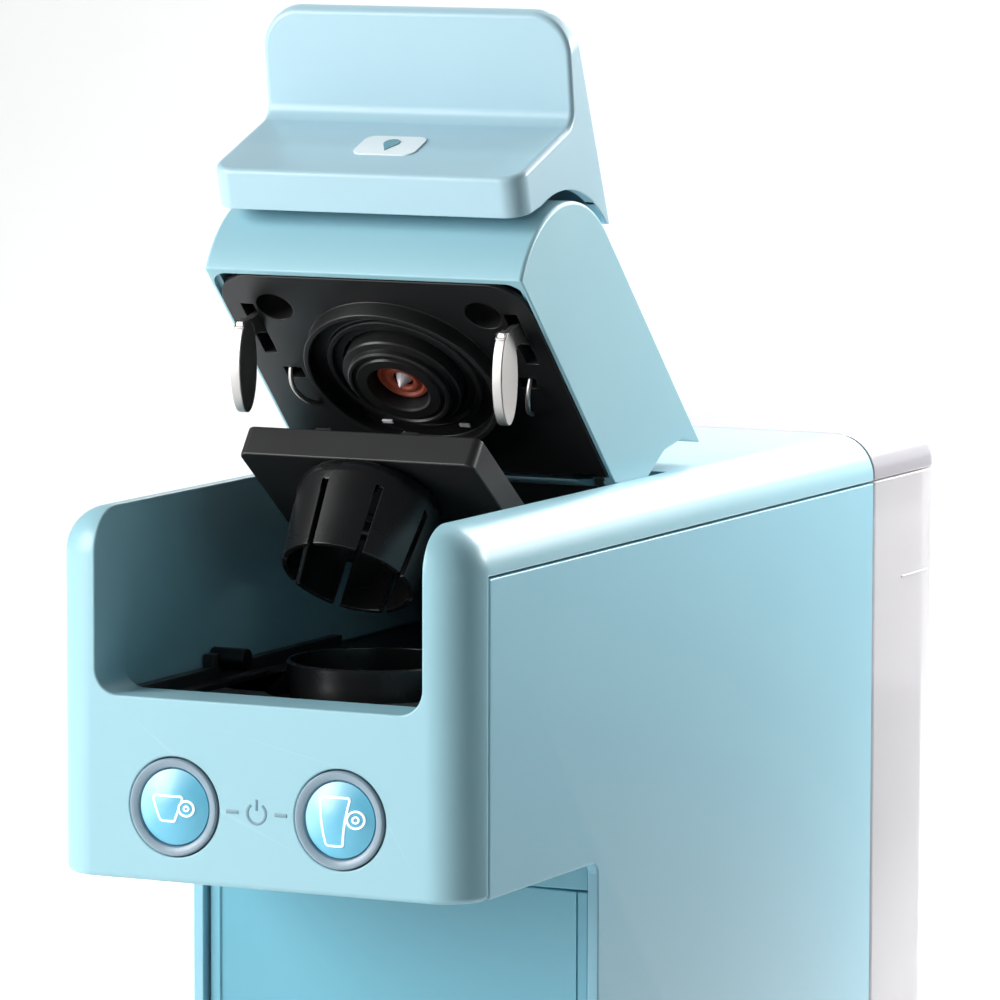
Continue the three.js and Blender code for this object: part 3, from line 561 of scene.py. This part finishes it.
def main_shell():
    wall = 2.6
    seam = 9.6
    panel_top = U + 68.6
    backing = HALF - 2.9
    top_front = HINGE.y - 14.7
    body = ball_box((-HALF, 0, U - 30), (HALF, SHELL_BACK + 30, TOP), 10)
    body = common(body, block(-60, 60, -5, SHELL_BACK, U, TOP + 5))
    chamber = rectangle(-CUT_HALF, CUT_FLOOR, CUT_HALF, TOP + 8, (5.5, 5.5, 0, 0))
    body = cut(body, prism(chamber, "y", -1, top_front))
    body = cut(body, block(-CUT_HALF, CUT_HALF, 13, top_front, U + 25, CUT_FLOOR + 8))
    body = cut(body, *sides(lambda i: block(
        *sorted((i * backing, i * (HALF + 1))), seam, SHELL_BACK + 1, U - 1, panel_top)))
    body = cut(body, block(-44.5, 44.5, wall, SHELL_BACK + 1, U + wall, CUT_FLOOR - wall))
    body = cut(body, block(-44.5, 44.5, 64, SHELL_BACK + 1, U - 1, U + 5))
    body = cut(body, *sides(lambda i: block(
        *sorted((i * (CUT_HALF + wall), i * 44.5)), wall, SHELL_BACK + 1, U + 5, panel_top - 4)))
    body = cut(body, block(-CUT_HALF, CUT_HALF, top_front - 1, 160, CUT_FLOOR - 10, TOP - wall))
    body = cut(body, block(-44, 44, 160, SHELL_BACK + 1, U + 5, TOP - 3.2))
    body = cut(body, *sides(lambda i: rod("y", i * BUTTON_LEFT.x, BUTTON_LEFT.z, 10.8, -1, wall + 1)))
    body = cut(body, rod("z", 0, BREW_Y, 8, U - 1, U + wall + 1))

    def weight(p):
        if p.z < U + 0.1 and (p.y < 1 or abs(p.x) > HALF - 9):
            return 1.0
        return 0.3
    return finish(body, "body_shell", "root", BLUE, 1.5, weight, stands_for=["main_shell"])


def side_panels():
    for side in ("left", "right"):
        refined("side_panel_" + side, PANEL_BLUE, 0.35, 3)


def chamber():
    refined("chamber_tub", TUB_BLACK, 0.3)
    for side in ("left", "right"):
        refined("catch_pin_" + side, DARK_STEEL, 0.25)
    refined("head_axle", STEEL, 0.3)
    refined("carrier_axle", STEEL, 0.3)
    low, high = span("lift_cup")
    rim = high.z
    profile = [
        (5, low.z), (18.9, low.z), (19.5, low.z + 0.6), (19.5, rim - 0.35), (19.2, rim), (18.6, rim),
        (18.4, rim - 0.3), (18.4, rim - 5.6), (18.0, rim - 6), (16.4, rim - 6), (16.2, rim - 5.6),
        (15.4, rim - 5.6), (15.2, rim - 6), (5.8, rim - 6), (5.4, rim - 5.4), (5, rim - 5.6),
    ]
    cup = lathe(profile, "z", 0, BREW_Y)
    finish(cup, "cup_piece", "lift_cup", CROWN_BLACK, 0, stands_for=["lift_cup"])
    base = span("spout")[0].z
    nozzle = [
        (3.5, base), (6.4, base), (7, base + 0.6), (7, U + 2.9),
        (14, U + 2.9), (14, U + 5), (6, U + 5), (3.5, U + 2),
    ]
    finish(lathe(nozzle, "z", 0, BREW_Y), "spout_piece", "root", BLACK, 0.3, stands_for=["spout"])


# ---------------------------------------------------------------- head

def nose_outline(radius, base, shift):
    """Side view of the head: the round front, the top and the back, which is moved ahead by shift."""
    start = 180 + math.degrees(math.asin((PIVOT.z - base) / radius))
    nose = arc((PIVOT.y, PIVOT.z), radius, start, 90, 48)
    back = [
        (121.6, PIVOT.z + radius), (113, U + 74), (107.5, U + 66),
        (105, U + 56), (100, U + 49), (93, base),
    ]
    return nose + [(y - shift, z) for y, z in back]


def head_shell():
    wall = 2.2
    half = span("head_shell")[1].x
    shell = prism(nose_outline(NOSE_R, HEAD_BASE, 0), "x", -half, half)
    inside = prism(nose_outline(NOSE_R - wall, HEAD_BASE - 1, 2.6), "x", wall - half, half - wall)
    shell = cut(shell, inside)
    # Seat of the plate, slots for the lever's arms and openings for the hinge arms.
    rim = 0.8
    seat = rectangle(rim - half, PIVOT.y - 24, half - rim, 90.3, (4, 4, 1, 1))
    shell = cut(shell, prism(seat, "z", HEAD_BASE - 2, HEAD_BASE + 1.2))
    shell = cut(shell, *sides(lambda i: block(i * 16.4 - 2.4, i * 16.4 + 2.4, 15, 39.5, U + 61, U + 82)))
    shell = cut(shell, *sides(lambda i: block(
        i * 32.5 - 3.2, i * 32.5 + 3.2, 90, 118, HEAD_BASE - 2, HEAD_BASE + 14)))

    def weight(p):
        low = p.z < HEAD_BASE + 0.1
        if abs(p.x) > half - 0.1:
            return 0.3 if low else 1.0
        return 0.3 if low and p.y < PIVOT.y - 25 else 0.05
    finish(shell, "head_casing", "head", BLUE, 0.9, weight, HEAD_TURN, ["head_shell"])


def head_plate():
    z0 = HEAD_BASE - 0.3
    side = span("head_shell")[1].x - 1
    plate = prism(rectangle(-side, PIVOT.y - 23.7, side, 90, (9, 9, 1, 1)), "z", z0, z0 + 1.3)
    plate = join(plate, prism(rectangle(-36, PIVOT.y - 22.4, 36, 90, (9, 9, 2, 2)), "z", z0 + 1, z0 + 3.7))
    low = HEAD_BASE - 4.2
    ring = [
        (14.3, z0 + 1.7), (22.8, z0 + 1.7), (22.8, low + 0.35), (22.45, low), (21.65, low),
        (21.3, low + 0.35), (21.3, HEAD_BASE - 1.6), (20.9, HEAD_BASE - 1.2),
        (18.2, HEAD_BASE - 1.2), (17.9, HEAD_BASE - 1.9),
        (17.6, HEAD_BASE - 2.2), (16.6, HEAD_BASE - 2.2), (16.3, HEAD_BASE - 1.2), (14.3, HEAD_BASE - 1.2),
    ]
    plate = join(plate, lathe(ring, "z", 0, BREW_Y))
    plate = cut(plate, rod("z", 0, BREW_Y, 14.1, low - 2, z0 + 9))
    plate = join(plate, *sides(lambda i: rod("z", i * SCREW_X, SCREW_Y, 5.6, z0 + 1.7, z0 + 11.7, 48)))
    plate = cut(plate, *sides(lambda i: rod("z", i * SCREW_X, SCREW_Y, 4.2, z0 - 1, z0 + 10.2, 48)))
    plate = cut(plate, *sides(lambda i: block(
        i * 32 - 1.5, i * 32 + 1.5, PIVOT.y - 14.2, PIVOT.y + 2.2, z0 - 1, z0 + 5)))
    plate = cut(plate, *sides(lambda i: block(i * 32.5 - 3.2, i * 32.5 + 3.2, 89, 95, z0 - 1, z0 + 5)))
    # Small windows for the springs behind the hooks.
    plate = cut(plate, *sides(lambda i: block(i * 28.6 - 2.2, i * 28.6 + 2.2, 56.5, 60, z0 - 1, z0 + 5)))
    finish(plate, "head_face", "head", BLACK, 0.22, None, HEAD_TURN, ["head_plate"])

    # Piston with its groove, the silicone seal and the needle.
    face = HEAD_BASE - 6
    piston = [
        (6.4, HEAD_BASE - 2), (6.9, face + 0.4), (7.3, face), (9.6, face), (9.9, face + 0.5),
        (10.6, face + 0.5), (10.9, face), (11.5, face), (11.9, face + 0.4),
        (12.0, HEAD_BASE - 4.5), (13.4, HEAD_BASE - 4.2), (13.7, HEAD_BASE - 3.8),
        (13.7, HEAD_BASE + 3.8), (0, HEAD_BASE + 3.8), (0, HEAD_BASE - 2),
    ]
    piston = lathe(piston, "z", 0, BREW_Y)
    finish(piston, "piston_piece", "head", BLACK, 0, None, HEAD_TURN, ["brew_piston"])
    seat = HEAD_BASE - 2.3
    seal = [
        (2.4, seat), (6, seat), (6, seat - 0.7), (5.7, seat - 1.0), (5.0, seat - 1.1), (4.5, seat - 0.6),
        (4.0, seat - 0.6), (3.5, seat - 1.1), (2.9, seat - 1.1), (2.4, seat - 0.7),
    ]
    seal = lathe(seal, "z", 0, BREW_Y)
    finish(seal, "seal_piece", "head", RED, 0, None, HEAD_TURN, ["piston_seal"])
    tip = HEAD_BASE - 5.4
    needle = [(0, tip), (0.35, tip + 0.5), (1.1, tip + 1.8), (1.9, seat), (0, seat)]
    needle = lathe(needle, "z", 0, BREW_Y, 48)
    finish(needle, "needle_piece", "head", WHITE, 0, None, HEAD_TURN, ["piercing_needle"])
    # Two small pale tabs that hold the ring.
    tab_y = BREW_Y + 15.2
    tab_z = HEAD_BASE - 2.6
    tabs = sides(lambda i: block(i * 9.5 - 1.3, i * 9.5 + 1.3, tab_y, tab_y + 1, tab_z, tab_z + 0.5))
    finish(merged(tabs), "ring_tabs", "head", WHITE, 0.15, None, HEAD_TURN)


def head_fittings():
    z = HEAD_BASE + 6.8
    for side, i in (("left", -1), ("right", 1)):
        x = i * SCREW_X
        head = rod("z", x, SCREW_Y, 3.3, z, z + 2.8, 48)
        head = cut(head, block(x - 2.4, x + 2.4, SCREW_Y - 0.45, SCREW_Y + 0.45, z - 1, z + 1.2))
        head = cut(head, block(x - 0.45, x + 0.45, SCREW_Y - 2.4, SCREW_Y + 2.4, z - 1, z + 1.2))
        finish(head, "screw_piece_" + side, "head", STEEL, 0.15, None, HEAD_TURN, ["head_screw_" + side])
        # Bent spring strip behind each hook.
        x = i * 29.4
        z0 = HEAD_BASE - 0.5
        line = [
            (x, 56.6, z0 + 3), (x, 57.4, z0 + 0.2), (x - i * 0.4, 59.4, z0 - 2.0),
            (x - i * 1.2, 62.2, z0 - 2.6), (x - i * 2.2, 65.2, z0 - 2.0),
            (x - i * 3.0, 67.6, z0 - 0.6), (x - i * 3.2, 68.8, z0 + 0.2),
        ]
        strip = tube(smooth(line, 6), 0.55)
        finish(strip, "hook_spring_" + side, "head", STEEL, 0, None, HEAD_TURN)
    refined("head_yoke", BRUSHED, 0.3)


def smooth(points, steps):
    """Catmull-Rom points through the given ones."""
    p = [Vector(q) for q in points]
    p = [p[0] * 2 - p[1]] + p + [p[-1] * 2 - p[-2]]
    line = []
    for i in range(1, len(p) - 2):
        for k in range(steps):
            t = k / steps
            line.append(0.5 * ((2 * p[i]) + (p[i + 1] - p[i - 1]) * t
                        + (2 * p[i - 1] - 5 * p[i] + 4 * p[i + 1] - p[i + 2]) * t ** 2
                        + (3 * p[i] - p[i - 1] - 3 * p[i + 1] + p[i + 2]) * t ** 3))
    line.append(p[-2])
    return [tuple(q) for q in line]


# ---------------------------------------------------------------- lever

def lever_shell():
    wall = 2.4
    half = span("lever_shell")[1].x
    nose = arc((PIVOT.y, PIVOT.z), NOSE_R + 2.4, 184, 114, 35)
    rest = rounded([
        (*nose[-1], 0), (38.4, U + 82.2, 0), (-16, U + 81, 0), (-16, U + 77.8, 0),
        (LEVER_FRONT, U + 72, 4), (LEVER_FRONT, U + 38, 0), (18.5, U + 38, 0), (*nose[0], 0),
    ])
    shell = prism(nose[:-1] + rest[:-1], "x", -half, half)
    # The lower end slopes a little, and its corners are round.
    lower = prism(rectangle(-half, U + 42.2, half, U + 130, (5, 5, 0, 0)), "y", -20, 95)
    fall = 0.8 / 9.4
    slope = Matrix.Identity(4)
    slope[2][1] = -fall
    slope[2][3] = LEVER_FRONT * fall
    lower.data.transform(slope)
    shell = common(shell, lower)
    # The round corners of the lip.
    shell = common(shell, prism(rectangle(-half, -13.5, half, 95, (9, 9, 0, 0)), "z", U + 20, U + 95))
    hollow = arc((PIVOT.y, PIVOT.z), NOSE_R - 2, 190, 128, 24)
    hollow += [(30, U + 78), (15, U + 78.8), (12.4, U + 70), (12.4, U + 48)]
    shell = cut(shell, prism(hollow, "x", wall - half, half - wall))

    def weight(p):
        inner = abs(p.x) < half - 0.1 and 11 < p.y < 18 and p.z > U + 45
        return 0.25 if inner or p.y > 18 else 1.0
    # The lever casing takes the lighter blue with painted light.
    finish(shell, "lever_casing", "lever", LEVER_BLUE_PAINTED_LIGHT, 1.2, weight, LEVER_TURN, ["lever_shell"], segments=4)


def lever_parts():
    refined("lever_yoke", BRUSHED, 0.3)
    for side, i in (("left", -1), ("right", 1)):
        hook(side, i * 31.8)
    # Generic badge: a small round-cornered plate with a drop.
    y = LEVER_FRONT
    plate = prism(rectangle(-7.5, U + 52.2, 7.5, U + 61.8, (2.4,) * 4), "y", y - 0.35, y + 0.1)
    finish(plate, "badge_piece", "lever", BADGE, 0.12, None, LEVER_TURN, ["lever_badge"])
    tip = U + 54.0
    centre = (0, tip + 4.0)
    outline = [(0, tip)] + arc(centre, 1.9, -38, 218, 24)
    drop = prism(outline, "y", y - 0.5, y - 0.2)
    finish(drop, "badge_drop", "lever", BADGE_DROP, 0.06, None, LEVER_TURN)


def hook(side, x):
    """Polished steel hook: an oval blade on an arm, with a hub on the lever's shaft."""
    centre = Vector((52.4, U + 32.2))
    turn = math.radians(159.3)

    def oval(t):
        u = 10.2 * math.cos(t)
        v = 4.1 * math.sin(t)
        return (centre.x + u * math.cos(turn) - v * math.sin(turn),
                centre.y + u * math.sin(turn) + v * math.cos(turn))
    blade = prism([oval(2 * math.pi * i / 72) for i in range(72)], "x", x - 1.2, x + 1.2)

    def around_shaft(*polar):
        return [arc((PIVOT.y, PIVOT.z), r, a, a, 1)[0] for r, a in polar]
    arm = around_shaft((5, 195), (16.6, 249), (20.5, 250)) + [oval(0.55), oval(-0.9)]
    arm += around_shaft((13, 264), (5, 310))
    made = join(blade, prism(arm, "x", x - 1, x + 1), rod("x", PIVOT.y, PIVOT.z, 5.5, x - 1, x + 1, 64))
    made = cut(made, rod("x", PIVOT.y, PIVOT.z, 4.3, x - 5, x + 5, 48))
    finish(made, "hook_piece_" + side, "lever", STEEL, 0.3, None, LEVER_TURN, ["hook_" + side])


# ---------------------------------------------------------------- capsule carrier

def carrier():
    base = U + 32.3
    z1 = base + 7.2
    plate = prism(rectangle(-28.5, 42.6, 28.5, 84, (2, 2, 2, 2)), "z", base, z1)
    collar = common(rod("z", 0, BREW_Y, 17, z1 - 1, z1 + 1.3), block(-30, 30, 43.8, 84, z1 - 1, z1 + 2))
    plate = join(plate, collar)

    def arm(x):
        bar = [(78, base), (85, base), (CARRIER.y, CARRIER.z - 5)]
        bar += arc((CARRIER.y, CARRIER.z), 5, 300, 460, 24) + [(86, z1), (78, z1)]
        return prism(bar, "x", x - 2.5, x + 2.5)
    plate = join(plate, *sides(lambda i: arm(i * 24.8)))
    plate = cut(plate, rod("z", 0, BREW_Y, 12.2, base - 1, z1 + 3))
    plate = cut(plate, rod("z", 0, BREW_Y, 14.4, z1, z1 + 3))
    plate = cut(plate, rod("x", CARRIER.y, CARRIER.z, 2.8, -40, 40, 48))
    finish(plate, "carrier_piece", "carrier", CARRIER_BLACK, 0.45, None, CARRIER_TURN, ["carrier_frame"])

    low = base - 22.2
    top = base - 0.3
    angles = [math.pi / 2 * i / 10 for i in range(1, 11)]
    outer = [(12.8, top)] + [(12.9 + 3.6 * math.sin(a), top - 4.6 + 4.6 * math.cos(a)) for a in angles]
    inner = [(13.6, low), (15.2, top - 4.6), (14.2, top - 2.8), (11.4, top - 1.6), (11.4, top)]
    crown = lathe(outer + [(14.8, low)] + inner, "z", 0, BREW_Y)
    fingers = 8
    for i in range(fingers):
        a = math.radians(-102.5 + i * 360 / fingers)
        slot = block(8, 20, -0.7, 0.7, low - 1, top - 6.5)
        slot.data.transform(Matrix.Translation((0, BREW_Y, 0)) @ Matrix.Rotation(a, 4, "Z"))
        crown = cut(crown, slot)
    finish(crown, "crown_piece", "carrier", CROWN_BLACK, 0.22, None, CARRIER_TURN, ["capsule_crown"])


# ---------------------------------------------------------------- buttons

DOME_R = 8.15


def dome_depth(r):
    """Depth of the button's domed face at a distance from its middle."""
    return -1.9 + 2.1 * (r / DOME_R) ** 2


def on_dome(x, points):
    """Points drawn on the domed face of the button at x, as offsets from its middle."""
    return [(x + u, dome_depth(math.hypot(u, v)), BUTTON_LEFT.z + v) for u, v in points]


def sampled(points, step=0.4):
    """A polyline with its long stretches divided."""
    line = []
    for a, b in zip(points, points[1:]):
        count = max(1, int(math.dist(a, b) / step))
        line += [(a[0] + (b[0] - a[0]) * k / count, a[1] + (b[1] - a[1]) * k / count) for k in range(count)]
    return line + [points[-1]]


def buttons():
    for side, i in (("left", -1), ("right", 1)):
        x = i * abs(BUTTON_LEFT.x)
        z = BUTTON_LEFT.z
        ring = [
            (8.4, 5), (10.5, 5), (10.5, -0.25), (10.2, -0.55),
            (9.9, -0.6), (9.2, -0.5), (8.7, -0.2), (8.4, 0.5),
        ]
        ring = lathe(ring, "y", x, z)
        finish(ring, "ring_piece_" + side, "root", GREY, 0, stands_for=["button_ring_" + side])
        radii = [DOME_R * k / 16 for k in range(17)]
        cap = [(r, dome_depth(r)) for r in radii] + [(DOME_R, 6.5), (2.5, 6.5), (2.5, 9.4), (0, 9.4)]
        cap = lathe(cap, "y", x, z)
        finish(cap, "dome_" + side, "button_" + side, DOME, 0, stands_for=["button_" + side])
    left = -abs(BUTTON_LEFT.x)
    right = abs(BUTTON_LEFT.x)
    cup = rounded([(-4.6, 2.6, 0.7), (-2.4, -2.8, 0.8), (1.0, -2.8, 0.6), (3.1, 2.6, 0.6)], 5)
    mug = rounded([(-4.2, 5.0, 0.7), (-2.8, -5.4, 0.8), (1.2, -5.4, 0.7), (3.0, 5.0, 0.6)], 5)
    icon("cup_icon", left, cup, (3.7, 0.1), 1.6, 0.5, "button_left")
    icon("mug_icon", right, mug, (4.4, 0.5), 1.8, 0.65, "button_right")


def icon(name, x, outline, handle, outer, inner, body):
    """A vessel in outline with a round handle, as fine beads that stand just proud of the dome."""
    bead = 0.24
    keep = [p for p in sampled(outline + [outline[0]], 0.25) if math.dist(p, handle) > outer - 0.1]
    start = max(range(len(keep)), key=lambda k: math.dist(keep[k], keep[k - 1]))
    line = keep[start:] + keep[:start]
    parts = [
        tube(on_dome(x, line), bead),
        tube(on_dome(x, arc(handle, outer, 0, 360, 40)[:-1]), bead, True),
        tube(on_dome(x, arc(handle, inner, 0, 360, 24)[:-1]), bead * 0.8, True),
    ]
    finish(merged(parts), name, body, ICON, 0)


def front_print():
    """Power sign with a dash to each side, printed on the front between the buttons."""
    z = BUTTON_LEFT.z
    y = -0.04
    sign = [(u, y, z + v) for u, v in arc((0, 0), 2.2, 128, 412, 40)]
    parts = [tube(sign, 0.32), tube([(0, y, z + 0.6), (0, y, z + 3.0)], 0.32)]
    for i in (-1, 1):
        parts.append(tube([(i * 4.4, y, z), (i * 7.2, y, z)], 0.42))
    flat = merged(parts)
    squeeze = Matrix.Diagonal((1, 0.35, 1, 1))
    flat.data.transform(Matrix.Translation((0, y, 0)) @ squeeze @ Matrix.Translation((0, -y, 0)))
    finish(flat, "front_print", "root", PRINT, 0)


# ---------------------------------------------------------------- tank

def tank():
    low, high = span("tank")
    front, back = low.y, high.y
    wall = 2.0

    def plan(inset, ahead=None):
        first = inset if ahead is None else ahead
        return rectangle(-HALF + inset, front + first, HALF - inset, back - inset,
                         (1, 1, 9.6 - inset * 0.5, 9.6 - inset * 0.5))
    body = prism(plan(0), "z", low.z, high.z)
    body = cut(body, prism(plan(wall), "z", low.z + wall, high.z + 1))
    body = join(body, rod("y", 0, 40, 6, front, front + 12, 48))
    body = cut(body, rod("y", 0, 40, 3, front - 1, front + 13, 48))
    finish(body, "tank_casing", "tank", TANK, 0.5, stands_for=["tank"])
    water = prism(plan(wall + 0.25), "z", low.z + wall + 0.2, U + 14.5)
    water = cut(water, rod("y", 0, 40, 6.4, front - 1, front + 16, 48))
    finish(water, "tank_water", "tank", WATER, 0.4)
    refined("tank_valve", WHITE, 0.3)
    # Fine level line moulded into the tank's right side.
    line = tube([(HALF + 0.05, front + 17, U + 44), (HALF + 0.05, front + 33, U + 44)], 0.25)
    finish(line, "tank_level_line", "tank", TANK, 0)
    seam = high.z
    edge = seam + 0.3
    lid = ball_box((-HALF, front - 30, edge - 30), (HALF, back, TOP), 9.6)
    lid = common(lid, block(-60, 60, front, back + 5, edge, TOP + 5))
    lid = join(lid, prism(plan(wall + 0.3, 6.5), "z", seam - 8.4, edge + 1))
    lid = cut(lid, prism(plan(4, 8.3), "z", seam - 9, TOP - 3.5))
    finish(lid, "lid_piece", "tank_lid", LID, 0.4, stands_for=["tank_lid"])


# ---------------------------------------------------------------- everything else

PLAIN = {
    BLUE: ["base"],
    # The column trim and the drawer front take the blue darkened by painted shade.
    BLUE_PAINTED_SHADE: ["column_trim", "drawer_front"],
    BLACK: ["chassis", "rear_wall", "tank_socket", "capsule_bin", "drip_tray", "power_switch"],
    RUBBER: ["foot_front_left", "foot_front_right", "foot_rear_left", "foot_rear_right",
             "pump_mount", "cord_gland"],
    BRUSHED: ["boiler", "tray_grille"],
    GREY: ["pump"],
    WHITE: ["flow_meter"],
    BOARD: ["button_board", "control_board"],
    HOSE: ["inlet_hose", "suction_hose", "pressure_hose", "brew_hose"],
}


def plain_pieces():
    for material, nodes in PLAIN.items():
        for node in nodes:
            refined(node, material, 0.1 if "hose" in node else 0.4)


# ---------------------------------------------------------------- studio

def towards(azimuth, elevation):
    """Direction at an azimuth and elevation in degrees. Azimuth 0 is straight in front."""
    a = math.radians(azimuth)
    e = math.radians(elevation)
    return Vector((math.sin(a) * math.cos(e), -math.cos(a) * math.cos(e), math.sin(e)))


def camera():
    data = bpy.data.cameras.new("camera")
    obj = bpy.data.objects.new("camera", data)
    bpy.context.scene.collection.objects.link(obj)
    look = (-towards(25.84, 6.39)).to_track_quat("-Z", "Y").to_matrix().to_4x4()
    roll = Matrix.Rotation(math.radians(0.136), 4, "Z")
    place = Vector((0.6535, -1.3446, 0.4250))
    obj.matrix_world = Matrix.Translation(place) @ look @ roll
    data.sensor_width = 36
    data.lens = 240
    data.clip_end = 50
    bpy.context.scene.camera = obj


def soft_box(name, place, way, size, watts):
    """A rectangular light at a place, which shines along way."""
    data = bpy.data.lights.new(name, "AREA")
    data.shape = "RECTANGLE"
    data.size, data.size_y = size
    data.energy = watts
    obj = bpy.data.objects.new(name, data)
    bpy.context.scene.collection.objects.link(obj)
    obj.location = place
    obj.rotation_mode = "QUATERNION"
    obj.rotation_quaternion = way.to_track_quat("-Z", "Y")


def around_machine(name, azimuth, elevation, distance, size, watts):
    """A soft box that looks at the middle of the machine from a distance in metres."""
    back = towards(azimuth, elevation)
    soft_box(name, Vector((0, 0, 0.2)) + back * distance, -back, size, watts)


def between(name, place, target, size, watts):
    """A soft box at a place, turned towards a target."""
    soft_box(name, place, Vector(target) - Vector(place), size, watts)


def studio_floor():
    """Pale floor that curves up into a backdrop behind the machine."""
    floor_material, tree, shader = nodes_of("studio_floor")
    tree.links.new(ramp(tree, noise(tree, 3, 2), 0.93, 0.96), shader.inputs["Base Color"])
    shader.inputs["Roughness"].default_value = 0.7
    sweep = arc((2.2, 1.2), 1.2, -90, 0, 24)
    profile = [(-3.5, 0)] + sweep + [(3.4, 4.5)]
    bm = bmesh.new()
    rows = [[bm.verts.new((x, y, z)) for y, z in profile] for x in (-5, 5)]
    for i in range(len(profile) - 1):
        bm.faces.new((rows[0][i], rows[1][i], rows[1][i + 1], rows[0][i + 1]))
    mesh = bpy.data.meshes.new("studio_floor")
    for face in bm.faces:
        face.smooth = True
    bm.to_mesh(mesh)
    bm.free()
    floor = bpy.data.objects.new("studio_floor", mesh)
    bpy.context.scene.collection.objects.link(floor)
    mesh.materials.append(floor_material)


def studio_flag():
    """Dark flags, unseen by the camera, that keep the room's glare and the head's lamp off the side."""
    dark, tree, shader = nodes_of("studio_flag")
    tree.links.new(ramp(tree, noise(tree, 5, 2), 0.02, 0.03), shader.inputs["Base Color"])
    shader.inputs["Roughness"].default_value = 0.9
    flag = merged([block(400, 420, -500, 2200, 5, 300), block(200, 205, -150, 180, 5, 305)])
    flag.name = flag.data.name = "studio_flag"
    flag.data.transform(Matrix.Scale(MM, 4))
    flag.data.materials.append(dark)
    flag.visible_camera = False


def studio_light():
    world = bpy.data.worlds.new("world")
    bpy.context.scene.world = world
    world.use_nodes = True
    background = next(n for n in world.node_tree.nodes if n.type == "BACKGROUND")
    background.inputs["Color"].default_value = (0.93, 0.97, 1.0, 1)
    background.inputs["Strength"].default_value = 0.13
    around_machine("key_left", -44, 20, 1.5, (0.8, 0.9), 27)
    around_machine("side_right", 140, 39, 0.56, (0.25, 0.25), 0.75)
    around_machine("rail_back", 175, 34, 1.4, (0.9, 0.8), 26)
    between("head_right", (0.36, 0.3, 0.42), (0.03, 0.0, 0.33), (0.12, 0.12), 1.6)
    between("backdrop_low", (0, 1.0, 1.5), (0, 2.6, 0.1), (3.0, 1.0), 34)
    between("backdrop_high", (0, 0.9, 2.6), (0, 3.2, 1.2), (3.5, 1.5), 66)
    bpy.context.scene.view_settings.view_transform = "Standard"


camera()
studio_floor()
studio_flag()
studio_light()
main_shell()
side_panels()
chamber()
head_shell()
head_plate()
head_fittings()
lever_shell()
lever_parts()
carrier()
buttons()
front_print()
tank()
plain_pieces()
